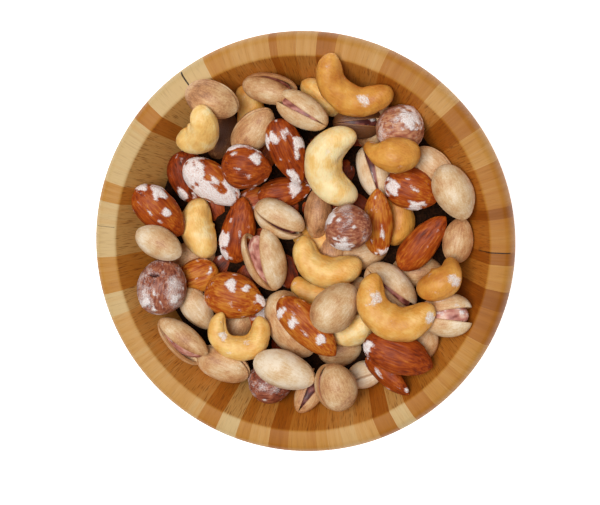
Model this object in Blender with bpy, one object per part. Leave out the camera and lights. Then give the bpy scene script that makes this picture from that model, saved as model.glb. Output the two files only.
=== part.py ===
"""A turned bamboo bowl heaped with salted mixed nuts, as two closed solids.

The bowl is one turned solid that stands on its flat base. The nuts are one
solid too: a smooth core that fills the bowl, with every nut that shows fused
on at its true size. Lengths are in millimetres until a mesh is made, and the
meshes are in metres, with +Z up and the origin in the middle of the base.
"""

import math
from dataclasses import dataclass

import bmesh
import bpy
import numpy as np
from mathutils import Euler, Vector

MM = 0.001
SHARP = math.radians(40.0)  # edges past this are shaded sharp

# The turned bowl
BOWL_HEIGHT = 58.0
BOWL_RADIUS = 70.5          # widest, just under the rim
WIDEST_Z = 50.5
BASE_RADIUS = 34.0
RIM_INNER_RADIUS = 62.2
RIM_OUTER_RADIUS = 67.0     # where the flat top of the rim starts to round over
FLOOR_Z = 8.5
WALL_SLOPE = math.radians(66.0)
WALL_FOOT_Z = 32.0          # where the straight inner wall turns into the hollow
BOWL_SIDES = 96
OUTSIDE_STEPS = 5           # of the curve up the outside
RIM_STEPS = 2               # of the rim's round edge
HOLLOW_STEPS = 4            # of the arc inside, the same on the bowl and the core

# The core under the nuts
GAP = 0.35                  # free space between the bowl and what lies in it
CORE_SIDES = 32
CORE_EDGE_Z = 38.0
CORE_TOP_Z = 41.0
DOME_STEPS = 3

# How the nuts lie
CELL = 1.0                  # width of a square of the height map
SINK = 2.0                  # how deep a nut is fused into what carries it
SINK_DEEP = 6.0             # the same for the lowest nuts, in the core
PROP_WIDTH = 1.05           # of a hidden nut on end, to the nut that it carries
PROP_SINK = 3.0
PROP_SIDES = 5
PROP_RINGS = 4
CLOUD_POINTS = 1600         # points that stand for a nut's skin while it settles
LEAN = 14.0                 # most that a nut tips to find its seat, in degrees
LEAN_COST = 0.05            # mm of height that a nut gives up per degree of lean
SLIDES = (0.8, 1.6)         # how far a nut may be pushed aside to lie lower
SLIDE_COST = 0.6            # mm of height that it gives up per square mm of slide

# Places in the table of nuts are read in the plane of the rim, from an eye
# above the bowl, so a nut that lies lower is moved along its line of sight.
EYE = (58.0, 47.0, 430.0)   # above the plane of the rim
TABLE_CENTRE = (2.1, 1.8)   # of the table's zero, from the bowl's axis
FULLNESS = 1.03             # a nut's real size to its size read in that plane


@dataclass
class Nut:
    """One nut: its plan place, heading and size in mm and degrees.

    A long nut points along +X before it is turned, and a cashew opens to +Y.
    """
    kind: str
    x: float
    y: float
    yaw: float
    length: float
    width: float
    roll: float = 0.0
    pitch: float = 0.0
    bend: float = 120.0     # of a cashew, between the middles of its lobes
    taper: float = 0.1      # how much fuller a cashew's lobe at +X is
    mouth: float = 0.0      # width of the gap at a pistachio's open end
    deep: bool = False      # half sunk in the core, seen only through the gaps


# For each kind: thickness to width, how its two ends taper, rings and sides
KINDS = {
    "almond": (0.64, 0.68, 0.50, 6, 8),
    "pistachio": (0.92, 0.58, 0.50, 6, 8),
    "hazelnut": (0.96, 0.52, 0.50, 6, 8),
    "cashew": (0.94, 0.0, 0.0, 9, 7),
}

# A pistachio with its mouth open, split along its upper and lower middle
OPEN_SIDES = 10
LIP_SHIFT = math.radians(23.0)  # the lips lie this near the split
SPLIT = 0.05                # sine of the angle within which a point is in the split
SPLIT_DEPTH = 0.72          # height of the split's floor, to the shell's

LOBE_END = 3.5              # exponent that rounds a cashew's ends

# From the bottom of the heap to its top
NUTS = [
    # deep between the others
    Nut("pistachio", -28, 35.5, 70, 18, 11, deep=True),
    Nut("almond", -16, 12.5, 20, 20, 12, deep=True),
    Nut("almond", -13.5, 29, 60, 20, 12, deep=True),
    Nut("cashew", 4, 1, 0, 20, 9, deep=True),
    Nut("pistachio", 19, -3.5, 20, 18, 11, deep=True),
    Nut("pistachio", 9, -3.5, 90, 17, 11, deep=True),
    Nut("pistachio", 23.5, 39, 70, 17, 11, deep=True),
    Nut("cashew", 4, -17, 0, 20, 9, deep=True),
    Nut("pistachio", 17, -19.5, 80, 17, 11, deep=True),
    Nut("pistachio", 40, -34.5, 60, 13, 9, deep=True),
    Nut("pistachio", 36.5, -9, 0, 17, 11, deep=True),
    Nut("pistachio", -38, -6, 10, 17, 11, deep=True),
    Nut("almond", -14, -23.5, 0, 20, 12, deep=True),
    Nut("pistachio", -23, -28, 60, 17, 11, deep=True),
    Nut("cashew", -18.5, 44.5, 90, 15, 8.5, bend=80, deep=True),
    Nut("pistachio", 11.5, -36, 10, 15, 11, deep=True),
    Nut("almond", 19.5, 34.5, 0, 18, 11, deep=True),
    # between
    Nut("pistachio", -12, 51.3, -10, 17.5, 12, mouth=2.6),
    Nut("cashew", 3, 48.5, -35, 17, 9, roll=-90, bend=90),
    Nut("pistachio", 16.3, 39.5, 0, 16, 11, mouth=3),
    Nut("almond", -39.5, 20.8, -75, 19, 13),
    Nut("almond", -7, 16, 10, 18, 10),
    Nut("pistachio", 42.8, 25.8, -40, 16, 10),
    Nut("pistachio", 4.5, 9, 88, 17, 9),
    Nut("cashew", 30.8, 7, 90, 16, 9, bend=80),
    Nut("almond", -36.9, -11.7, 200, 16, 11),
    Nut("pistachio", -36.5, -22.5, -60, 16, 9.5),
    Nut("pistachio", -4.5, -28, -60, 24, 15.5),
    Nut("cashew", 15.5, -29, 25, 15, 9, bend=80),
    Nut("pistachio", 20, -45, 20, 14, 9),
    Nut("pistachio", 1, -53, 60, 15, 9, mouth=3),
    Nut("pistachio", 28.5, -14.3, -40, 20, 13, mouth=3),
    Nut("pistachio", 51.5, 1, 80, 15, 9.5),
    Nut("hazelnut", -11.3, -49.4, 0, 14.3, 14.3),
    Nut("pistachio", -31.4, 46.7, -20, 17.5, 12),
    Nut("almond", 28.4, -45.5, -38, 18.5, 9, roll=50),
    Nut("pistachio", -26.5, -43, -20, 19, 11.8),
    Nut("hazelnut", 31.8, 37.8, 0, 15.2, 15.2),
    Nut("pistachio", -18.5, 37.5, 48, 18.6, 11.3),
    Nut("cashew", -36, 3, -78, 19.5, 10.5, bend=70),
    Nut("almond", -50.2, 9, -48, 21.5, 13),
    Nut("hazelnut", -49, -16.7, 80, 18.3, 16.2),
    Nut("almond", -24.5, -19, -15, 20.5, 15.3),
    # on top
    Nut("cashew", -35.2, 36, 48, 21.5, 9.3, pitch=28, bend=100),
    Nut("almond", -30.8, 20.5, -40, 22, 12.5),
    Nut("almond", -19.5, 25, -5, 16.5, 14),
    Nut("almond", -6.4, 29.8, -70, 22.6, 11.5),
    Nut("pistachio", -1.5, 41.8, 150, 18, 10.5, mouth=1.5),
    Nut("cashew", 14.2, 50, -31, 27.5, 10.5, bend=115),
    Nut("cashew", 7.2, 26, -90, 28, 11.8, bend=130),
    Nut("pistachio", 20.4, 20.8, 105, 17.8, 11, mouth=2.5),
    Nut("almond", 35.4, 17.8, -20, 18, 13.4),
    Nut("pistachio", 50, 16.5, -65, 18.5, 12),
    Nut("cashew", 26.4, 29.8, -8, 19.5, 10.3, roll=-80, bend=80, taper=0.25),
    Nut("almond", 25.3, 6.6, 90, 22.5, 10.2),
    Nut("hazelnut", 14.2, 5.5, 0, 17, 17),
    Nut("almond", 39.5, 1, 50, 23, 10.3),
    Nut("almond", -23.5, 3, 80, 23, 11.5),
    Nut("pistachio", -8.8, 8, -30, 18, 12, roll=40, mouth=2.5),
    Nut("pistachio", -49.2, -0.5, -28, 16.5, 10),
    Nut("pistachio", -14.5, -7.8, 110, 21, 14.7, roll=-35, mouth=4),
    Nut("cashew", 6, -6.5, -22, 25, 10.3, bend=110),
    Nut("cashew", -23.2, -33.2, -5, 21, 8.9, bend=160),
    Nut("pistachio", -42.8, -33.9, -42, 19.5, 12, roll=35, mouth=3.5),
    Nut("pistachio", -7, -43.4, -20, 21, 12),
    Nut("almond", 0.8, -28.8, -45, 26, 12),
    Nut("pistachio", 9.5, -22.5, 50, 18, 13.5),
    Nut("pistachio", 46.8, -25, 5, 18, 13.5, mouth=4),
    Nut("almond", 30.5, -37.4, -20, 23.5, 13.5),
    Nut("cashew", 45.2, -12.5, 48, 17.5, 11, roll=-80, bend=80),
    Nut("cashew", 28.7, -23.5, -28, 28, 10.8, bend=155),
    Nut("pistachio", 8.6, -48.6, 112, 16, 15.5, roll=-60, mouth=2.5),
]


def wall_foot_radius():
    """Radius of the hollow where its straight wall ends."""
    return RIM_INNER_RADIUS - (BOWL_HEIGHT - WALL_FOOT_Z) / math.tan(WALL_SLOPE)


def hollow_arc():
    """Centre radius and radius of the arc that joins the wall to the floor."""
    radius = (WALL_FOOT_Z - FLOOR_Z) / (1.0 - math.cos(WALL_SLOPE))
    return wall_foot_radius() - radius * math.sin(WALL_SLOPE), radius


def inner_profile(steps, inset=0.0, top=BOWL_HEIGHT):
    """Points (radius, z) of the hollow from its wall at height top to its floor."""
    centre, radius = hollow_arc()
    down = (BOWL_HEIGHT - top) / math.tan(WALL_SLOPE)
    points = [(RIM_INNER_RADIUS - down - inset / math.sin(WALL_SLOPE), top)]
    for step in range(steps + 1):
        angle = WALL_SLOPE * (1.0 - step / steps)
        reach = radius - inset
        points.append((centre + reach * math.sin(angle),
                       FLOOR_Z + radius - reach * math.cos(angle)))
    points.append((0.0, FLOOR_Z + inset))
    return points


def outer_profile(wall_steps, rim_steps):
    """Points (radius, z) from the middle of the base up the outside to the rim."""
    handles = ((BASE_RADIUS, 0.0), (50.0, 8.0), (BOWL_RADIUS - 0.5, 38.0), (BOWL_RADIUS, WIDEST_Z))
    points = [(0.0, 0.0)]
    for step in range(wall_steps + 1):
        t = step / wall_steps
        weights = ((1 - t) ** 3, 3 * t * (1 - t) ** 2, 3 * t * t * (1 - t), t ** 3)
        points.append(tuple(sum(w * h[axis] for w, h in zip(weights, handles)) for axis in (0, 1)))
    for step in range(1, rim_steps + 1):
        angle = math.pi / 2 * step / rim_steps
        points.append((RIM_OUTER_RADIUS + (BOWL_RADIUS - RIM_OUTER_RADIUS) * math.cos(angle),
                       WIDEST_Z + (BOWL_HEIGHT - WIDEST_Z) * math.sin(angle)))
    return points


def bowl_top(radius):
    """Height of the bowl's upper surface at each radius, -inf outside it."""
    centre, arc = hollow_arc()
    wall = BOWL_HEIGHT - (RIM_INNER_RADIUS - radius) * math.tan(WALL_SLOPE)
    across = np.clip(radius - centre, 0.0, arc)
    hollow = FLOOR_Z + arc - np.sqrt(arc * arc - across * across)
    height = np.where(radius > wall_foot_radius(), wall, hollow)
    height = np.where(radius > RIM_INNER_RADIUS, BOWL_HEIGHT, height)
    return np.where(radius > BOWL_RADIUS, -np.inf, height)


def core_top(radius):
    """Height of the low dome that the nuts lie on."""
    edge = inner_profile(1, GAP, CORE_EDGE_Z)[0][0]
    across = np.clip(radius / edge, 0.0, 1.0)
    return CORE_EDGE_Z + (CORE_TOP_Z - CORE_EDGE_Z) * np.cos(across * math.pi / 2)


def turned(name, profile, sides):
    """A closed solid of revolution from a profile that starts and ends on the axis."""
    mesh = bmesh.new()
    verts = [mesh.verts.new((radius * MM, 0.0, z * MM)) for radius, z in profile]
    edges = [mesh.edges.new(pair) for pair in zip(verts, verts[1:])]
    bmesh.ops.spin(mesh, geom=verts + edges, cent=(0, 0, 0), axis=(0, 0, 1),
                   angle=math.tau, steps=sides, use_merge=True)
    bmesh.ops.remove_doubles(mesh, verts=mesh.verts, dist=0.01 * MM)
    bmesh.ops.recalc_face_normals(mesh, faces=mesh.faces)
    return placed(name, mesh)


def placed(name, mesh):
    """Puts a bmesh in the scene as a smooth-shaded object."""
    data = bpy.data.meshes.new(name)
    mesh.to_mesh(data)
    mesh.free()
    data.shade_smooth()
    data.set_sharp_from_angle(angle=SHARP)
    thing = bpy.data.objects.new(name, data)
    bpy.context.scene.collection.objects.link(thing)
    return thing


def girth(along, tip, blunt):
    """How full a nut is along its length, from 0 at its ends to 1 at its widest."""
    widest = (blunt - tip) / (blunt + tip)
    peak = (1.0 - widest) ** tip * (1.0 + widest) ** blunt
    along = np.clip(along, -1.0, 1.0)
    return (1.0 - along) ** tip * (1.0 + along) ** blunt / peak


def moulded(nut, ball):
    """Shapes points of a unit ball, whose poles lie on X, into the nut."""
    flat, tip, blunt = KINDS[nut.kind][:3]
    along = ball[:, 0]
    side = np.arctan2(ball[:, 1], ball[:, 2])
    if nut.kind == "cashew":
        return bent(nut, along, side, flat) * FULLNESS
    if nut.mouth:
        side = side - LIP_SHIFT * np.sin(2.0 * side)
    full = girth(along, tip, blunt) * (nut.width - nut.mouth / 2) / 2
    across = full * np.sin(side)
    up = full * np.cos(side) * flat
    if nut.mouth:
        seam = np.abs(np.sin(side)) < SPLIT
        opened = nut.mouth / 4 * (1.0 + along)
        across = np.where(seam, 0.0, across + np.sign(across) * opened)
        up = np.where(seam, up * SPLIT_DEPTH, up)
    return np.column_stack((along * nut.length / 2, across, up)) * FULLNESS


def bent(nut, along, side, flat):
    """A cashew: a tube with round ends, one lobe fuller, along an arc that opens to +Y."""
    half = math.radians(nut.bend) / 2
    arc = (nut.length - nut.width) / (2.0 * math.sin(half))
    reach = half + nut.width / 2 / arc
    full = np.sqrt(np.clip(1.0 - np.abs(along) ** LOBE_END, 0.0, 1.0)) * nut.width / 2
    full = full * (1.0 + nut.taper * along)
    outward = arc + full * np.sin(side)
    angle = along * reach
    sag = arc * (1.0 + math.cos(half)) / 2
    return np.column_stack((outward * np.sin(angle), sag - outward * np.cos(angle),
                            full * np.cos(side) * flat))


def turn(nut, pitch, roll):
    """Rotation of a nut that leans by pitch and roll beyond its own, as a matrix."""
    lean = Euler((math.radians(nut.roll + roll), -math.radians(nut.pitch + pitch),
                  math.radians(nut.yaw)), "XYZ")
    return np.array(lean.to_matrix())


def even_ball(count):
    """Points spread evenly over a unit ball along a spiral."""
    step = np.arange(count) + 0.5
    along = 1.0 - 2.0 * step / count
    spin = step * math.pi * (3.0 - math.sqrt(5.0))
    out = np.sqrt(1.0 - along * along)
    return np.column_stack((along, out * np.cos(spin), out * np.sin(spin)))


def plan_place(nut, height):
    """Where a nut is, seen from straight above, once it lies at a height."""
    below = BOWL_HEIGHT - height
    share = below / (EYE[2] + below)
    return [(value + zero - eye * share) / (1.0 - share)
            for value, zero, eye in zip((nut.x, nut.y), TABLE_CENTRE, EYE)]


def seat(nut, cloud, lean, slide, pile):
    """Lowers a leaning nut on the pile and in the bowl: its cost, matrix, place and tops."""
    matrix = turn(nut, *lean)
    skin = cloud @ matrix.T
    height = BOWL_HEIGHT
    sink = SINK_DEEP if nut.deep else SINK
    for _ in range(3):
        x, y = np.add(plan_place(nut, height), slide)
        cells = np.rint((skin[:, :2] + (x, y)) / CELL).astype(int) + len(pile) // 2
        on_pile = np.max(pile[cells[:, 0], cells[:, 1]] - skin[:, 2]) - sink
        radius = np.hypot(skin[:, 0] + x, skin[:, 1] + y)
        on_bowl = np.max(bowl_top(radius) - skin[:, 2]) + GAP / math.cos(WALL_SLOPE)
        height = max(on_pile, on_bowl)
    cost = height + LEAN_COST * np.abs(lean).sum() + SLIDE_COST * np.square(slide).sum()
    return cost, matrix, (x, y, height), cells, skin[:, 2] + height


def settled(nuts):
    """Drops the nuts one by one on the pile and gives each one's matrix and place."""
    reach = BOWL_RADIUS + 12.0
    line = np.arange(-reach, reach + CELL, CELL)
    bare = core_top(np.hypot(*np.meshgrid(line, line, indexing="ij")))
    pile = bare.copy()
    ball = even_ball(CLOUD_POINTS)
    tips = (0.0, -LEAN / 2, LEAN / 2, -LEAN, LEAN)
    leans = [(pitch, roll) for pitch in tips for roll in tips]
    turns = [step * math.tau / 8 for step in range(8)]
    slides = [(0.0, 0.0)]
    slides += [(far * math.cos(a), far * math.sin(a)) for far in SLIDES for a in turns]
    result = []
    for nut in nuts:
        cloud = moulded(nut, ball)
        under = bare if nut.deep else pile
        slide = min(slides, key=lambda way: seat(nut, cloud, (0.0, 0.0), way, under)[0])
        lean = min(leans, key=lambda way: seat(nut, cloud, way, slide, under)[0])
        slide = min(slides, key=lambda way: seat(nut, cloud, lean, way, under)[0])
        _, matrix, place, cells, tops = seat(nut, cloud, lean, slide, under)
        np.maximum.at(pile, (cells[:, 0], cells[:, 1]), tops)
        result.append((matrix, place))
    return result


def nut_mesh(nut, matrix, place):
    """The nut as a closed mesh of few sides, where it lies."""
    rings, sides = KINDS[nut.kind][3:]
    if nut.mouth:
        sides = OPEN_SIDES
    mesh = bmesh.new()
    bmesh.ops.create_uvsphere(mesh, u_segments=sides, v_segments=rings, radius=1.0)
    poles_on_z = np.array([vert.co[:] for vert in mesh.verts])
    ball = poles_on_z[:, [2, 1, 0]]
    points = (moulded(nut, ball) @ matrix.T + place) * MM
    for vert, point in zip(mesh.verts, points):
        vert.co = point
    bmesh.ops.recalc_face_normals(mesh, faces=mesh.faces)
    bmesh.ops.triangulate(mesh, faces=mesh.faces)
    return mesh


def prop_mesh(nut, place):
    """A hidden nut on end that joins a loose nut to the core below it."""
    x, y, height = place
    radius = nut.width * PROP_WIDTH / 2
    foot = min(CORE_EDGE_Z, height - nut.width) - PROP_SINK
    middle = (height + foot) / 2
    tall = (height - foot) / 2
    wall = RIM_INNER_RADIUS - (BOWL_HEIGHT - middle) / math.tan(WALL_SLOPE)
    room = wall - math.hypot(radius, tall / math.tan(WALL_SLOPE)) - 2 * GAP
    inward = min(1.0, room / max(math.hypot(x, y), 1.0))
    mesh = bmesh.new()
    bmesh.ops.create_uvsphere(mesh, u_segments=PROP_SIDES, v_segments=PROP_RINGS, radius=1.0)
    bmesh.ops.scale(mesh, vec=(radius * MM, radius * MM, tall * MM), verts=mesh.verts)
    bmesh.ops.translate(mesh, vec=(x * inward * MM, y * inward * MM, middle * MM), verts=mesh.verts)
    bmesh.ops.triangulate(mesh, faces=mesh.faces)
    return mesh


def shells_of(mesh):
    """The vertices of each separate shell of a bmesh, the largest shell first."""
    left = set(mesh.verts)
    shells = []
    while left:
        shell = {left.pop()}
        front = list(shell)
        while front:
            vert = front.pop()
            for edge in vert.link_edges:
                other = edge.other_vert(vert)
                if other in left:
                    left.discard(other)
                    shell.add(other)
                    front.append(other)
        shells.append(shell)
    return sorted(shells, key=len, reverse=True)


def loose_nuts(heap, places):
    """Which nuts a union left apart from the heap, as places in the table."""
    mesh = bmesh.new()
    mesh.from_mesh(heap.data)
    loose = set()
    for shell in shells_of(mesh)[1:]:
        centre = sum((vert.co for vert in shell), Vector()) / len(shell) / MM
        loose.add(min(range(len(places)), key=lambda index: (centre - Vector(places[index])).length))
    mesh.free()
    return sorted(loose)


def outer_shell_only(thing):
    """Keeps the largest shell, which drops loose scraps and fills sealed hollows."""
    mesh = bmesh.new()
    mesh.from_mesh(thing.data)
    for shell in shells_of(mesh)[1:]:
        bmesh.ops.delete(mesh, geom=list(shell), context="VERTS")
    mesh.to_mesh(thing.data)
    mesh.free()


def fuse(thing, meshes):
    """One Boolean union of a thing with every mesh of a list."""
    loose = bpy.data.collections.new("to_fuse")
    bpy.context.scene.collection.children.link(loose)
    for index, mesh in enumerate(meshes):
        piece = placed(f"piece_{index:02d}", mesh)
        bpy.context.scene.collection.objects.unlink(piece)
        loose.objects.link(piece)
    union = thing.modifiers.new("union", "BOOLEAN")
    union.operation = "UNION"
    union.operand_type = "COLLECTION"
    union.collection = loose
    union.solver = "EXACT"
    graph = bpy.context.evaluated_depsgraph_get()
    whole = bpy.data.meshes.new_from_object(thing.evaluated_get(graph))
    thing.modifiers.clear()
    thing.data = whole
    for piece in list(loose.objects):
        bpy.data.objects.remove(piece)
    bpy.data.collections.remove(loose)


def material(name, colour, roughness):
    """A Principled material of one colour, given as linear red, green and blue."""
    made = bpy.data.materials.new(name)
    made.use_nodes = True
    shader = made.node_tree.nodes["Principled BSDF"]
    shader.inputs["Base Color"].default_value = (*colour, 1.0)
    shader.inputs["Roughness"].default_value = roughness
    shader.inputs["Metallic"].default_value = 0.0
    return made


def make_bowl():
    """The turned bamboo bowl."""
    profile = outer_profile(OUTSIDE_STEPS, RIM_STEPS) + inner_profile(HOLLOW_STEPS)
    bowl = turned("bamboo_bowl", profile, BOWL_SIDES)
    bowl.data.materials.append(material("laminated_bamboo", (0.50, 0.27, 0.09), 0.42))


def make_nuts():
    """The heap of nuts over its core."""
    edge = inner_profile(HOLLOW_STEPS, GAP, CORE_EDGE_Z)
    dome_radii = [edge[0][0] * step / DOME_STEPS for step in range(DOME_STEPS)]
    dome = [(radius, float(core_top(radius))) for radius in dome_radii]
    core = turned("mixed_nuts", dome + edge, CORE_SIDES)
    seats = settled(NUTS)
    fuse(core, [nut_mesh(nut, *lying) for nut, lying in zip(NUTS, seats)])
    loose = loose_nuts(core, [place for _, place in seats])
    fuse(core, [prop_mesh(NUTS[index], seats[index][1]) for index in loose])
    outer_shell_only(core)
    core.data.shade_smooth()
    core.data.set_sharp_from_angle(angle=SHARP)
    core.data.materials.clear()
    core.data.materials.append(material("roasted_nuts", (0.56, 0.31, 0.13), 0.55))


def main():
    for thing in list(bpy.data.objects):
        bpy.data.objects.remove(thing)
    make_bowl()
    make_nuts()


main()
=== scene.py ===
# %% [markdown]
# A turned bamboo bowl heaped with salted almonds, cashews, hazelnuts and pistachios.
#
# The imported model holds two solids: the bowl, and the heap as one lump of simple nuts. This script
# keeps their places and sizes and makes what the eye sees: a bowl of glued bamboo staves, and nuts
# with skins, shells, kernels and salt. Lengths are in millimetres until a mesh is finished.

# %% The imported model
import math
import random
from dataclasses import dataclass, replace

import bmesh
import bpy
import numpy as np
from mathutils import Euler, Matrix, Vector, noise


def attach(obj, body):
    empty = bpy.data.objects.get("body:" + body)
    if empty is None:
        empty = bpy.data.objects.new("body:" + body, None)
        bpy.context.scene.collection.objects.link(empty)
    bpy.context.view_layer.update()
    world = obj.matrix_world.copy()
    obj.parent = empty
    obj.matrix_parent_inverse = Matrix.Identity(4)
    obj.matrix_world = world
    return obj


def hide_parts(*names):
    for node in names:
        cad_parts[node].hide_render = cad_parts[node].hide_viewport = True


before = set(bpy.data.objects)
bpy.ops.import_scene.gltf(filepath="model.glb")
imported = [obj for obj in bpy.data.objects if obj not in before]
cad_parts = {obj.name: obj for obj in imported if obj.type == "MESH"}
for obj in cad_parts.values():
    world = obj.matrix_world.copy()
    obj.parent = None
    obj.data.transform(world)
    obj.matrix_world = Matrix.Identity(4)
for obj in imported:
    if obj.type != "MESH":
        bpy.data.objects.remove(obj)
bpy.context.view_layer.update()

MM = 0.001

# %% [markdown]
# Colours are read off a swatch as sRGB hex, but Blender mixes light in linear values. One function
# turns one into the other, so that every colour below can be compared with a real swatch.
#
# A material is a tree of nodes. One helper adds a node, sets it, links its inputs and fills a
# colour ramp where there is one. Five short ones build on it: they read a layer of the mesh,
# reckon with values, draw noise and blend two colours. They keep each material as short as its
# recipe.

# %% Colours and nodes
def colour(swatch):
    """Linear red, green, blue and alpha of an sRGB hex colour."""
    parts = [int(swatch[start:start + 2], 16) / 255.0 for start in (1, 3, 5)]
    linear = [part / 12.92 if part <= 0.04045 else ((part + 0.055) / 1.055) ** 2.4
              for part in parts]
    return (*linear, 1.0)


def add(tree, kind, inputs=None, stops=None, **settings):
    """Adds a shader node: a value or another node's socket for each of its inputs."""
    made = tree.nodes.new("ShaderNode" + kind)
    for name, value in settings.items():
        setattr(made, name, value)
    for name, value in (inputs or {}).items():
        if isinstance(value, bpy.types.NodeSocket):
            tree.links.new(value, made.inputs[name])
        else:
            made.inputs[name].default_value = value
    if stops:
        ramp = made.color_ramp.elements
        while len(ramp) < len(stops):
            ramp.new(0.5)
        for stop, (place, swatch) in zip(ramp, stops):
            stop.position = place
            stop.color = colour(swatch)
    return made


def layer(tree, name, socket="Fac"):
    """What the mesh holds in the layer of this name."""
    return add(tree, "Attribute", attribute_name=name).outputs[socket]


def times(tree, value, factor):
    """A value times a factor."""
    return add(tree, "Math", {0: value, 1: factor}, operation="MULTIPLY").outputs[0]


def times_plus(tree, value, factor, rest):
    """A value times a factor, plus the rest."""
    return add(tree, "Math", {0: value, 1: factor, 2: rest}, operation="MULTIPLY_ADD").outputs[0]


def waves(tree, place, fit, detail):
    """Noise over a place: fit is how many waves a unit holds, for all axes or for each."""
    if isinstance(fit, tuple):
        place = add(tree, "VectorMath", {0: place, 1: fit}, operation="MULTIPLY").outputs[0]
        fit = 1.0
    return add(tree, "TexNoise", {"Vector": place, "Scale": fit, "Detail": detail}).outputs["Fac"]


def blended(tree, share, below, above, way="MIX"):
    """A share of one colour over another."""
    return add(tree, "Mix", {"Factor": share, "A": below, "B": above},
               data_type="RGBA", blend_type=way).outputs["Result"]


def new_material(name):
    """A material with its node tree and its Principled shader."""
    made = bpy.data.materials.new(name)
    made.use_nodes = True
    return made, made.node_tree, made.node_tree.nodes["Principled BSDF"]


print("middle grey is", [round(part, 3) for part in colour("#808080")])

# %% [markdown]
# Each finished piece sits at the origin, with its place in its mesh. It moves with the root body,
# and the CAD solid it stands for is hidden.

# %% Finishing a piece
def finished(name, data, materials, node):
    """Puts a mesh in the scene as a piece that stands for a node of the CAD model."""
    for material in materials:
        data.materials.append(material)
    piece = bpy.data.objects.new(name, data)
    bpy.context.scene.collection.objects.link(piece)
    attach(piece, "root")
    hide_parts(node)
    triangles = sum(len(face.vertices) - 2 for face in data.polygons)
    print(f"{name}: {triangles} triangles")
    return piece


# %% [markdown]
# The bowl is turned on a lathe, so its shape is one profile swept round the axis. The profile goes
# from the middle of the base up the outside, over the rim, and down the hollow to its floor.
# These are the measures of the CAD bowl, with more points, so that the turned edge looks round.

# %% The bowl's profile
BOWL_HEIGHT = 58.0
BOWL_RADIUS = 70.5
WIDEST_Z = 50.5
BASE_RADIUS = 34.0
RIM_INNER_RADIUS = 62.2
RIM_OUTER_RADIUS = 67.0
FLOOR_Z = 8.5
WALL_SLOPE = math.radians(66.0)
WALL_FOOT_Z = 32.0
OUTSIDE_PULLS = ((50.0, 8.0), (BOWL_RADIUS - 0.5, 38.0))    # they bend the outside's curve
OUTSIDE_STEPS = 22
RIM_STEPS = 8
HOLLOW_STEPS = 16
RIM_EASE = 0.7              # the rim's inner edge is sanded round by this much
EASE_STEPS = 3
BASE_BELOW = 0.2            # faces lower than this are the underside
SHARP = math.radians(50.0)  # a steeper edge than this is shown as an edge
WELD = 0.01                 # points nearer than this are one
SAME = 1e-6                 # metres: lengths that differ by less are equal


def wall_foot_radius():
    """Radius of the hollow where its straight wall ends."""
    return RIM_INNER_RADIUS - (BOWL_HEIGHT - WALL_FOOT_Z) / math.tan(WALL_SLOPE)


def hollow_arc():
    """Centre radius and radius of the arc that joins the wall to the floor."""
    radius = (WALL_FOOT_Z - FLOOR_Z) / (1.0 - math.cos(WALL_SLOPE))
    return wall_foot_radius() - radius * math.sin(WALL_SLOPE), radius


def inner_profile(steps, inset=0.0, top=BOWL_HEIGHT):
    """Points (radius, z) of the hollow from its wall at height top to its floor."""
    centre, radius = hollow_arc()
    down = (BOWL_HEIGHT - top) / math.tan(WALL_SLOPE)
    points = [(RIM_INNER_RADIUS - down - inset / math.sin(WALL_SLOPE), top)]
    for step in range(steps + 1):
        angle = WALL_SLOPE * (1.0 - step / steps)
        reach = radius - inset
        points.append((centre + reach * math.sin(angle),
                       FLOOR_Z + radius - reach * math.cos(angle)))
    points.append((0.0, FLOOR_Z + inset))
    return points


def outer_profile():
    """Points (radius, z) from the middle of the base up the outside to the rim."""
    handles = ((BASE_RADIUS, 0.0), *OUTSIDE_PULLS, (BOWL_RADIUS, WIDEST_Z))
    points = [(0.0, 0.0)]
    for step in range(OUTSIDE_STEPS + 1):
        t = step / OUTSIDE_STEPS
        weights = ((1 - t) ** 3, 3 * t * (1 - t) ** 2, 3 * t * t * (1 - t), t ** 3)
        points.append(tuple(sum(w * h[axis] for w, h in zip(weights, handles)) for axis in (0, 1)))
    for step in range(1, RIM_STEPS + 1):
        angle = math.pi / 2 * step / RIM_STEPS
        points.append((RIM_OUTER_RADIUS + (BOWL_RADIUS - RIM_OUTER_RADIUS) * math.cos(angle),
                       WIDEST_Z + (BOWL_HEIGHT - WIDEST_Z) * math.sin(angle)))
    return points


outside = outer_profile()
HOLLOW_STARTS = sum(math.dist(a, b) for a, b in zip(outside, outside[1:]))
HOLLOW_STARTS += outside[-1][0] - RIM_INNER_RADIUS
print("the profile is", round(HOLLOW_STARTS), "mm long up to the rim's inner edge")

# %% [markdown]
# The bowl was glued up from wedges of bamboo before it was turned, so its colour changes in
# strips that run over the rim and down the wall. Each strip, or stave, comes from another cane:
# raw ones are pale, steamed ones caramel to brown. An even stripe pattern would look printed.
# So the staves are named one by one, by the angle at which each ends and by how dark it is,
# and a wide run of one tone is glued up from several staves that differ a little.

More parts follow.
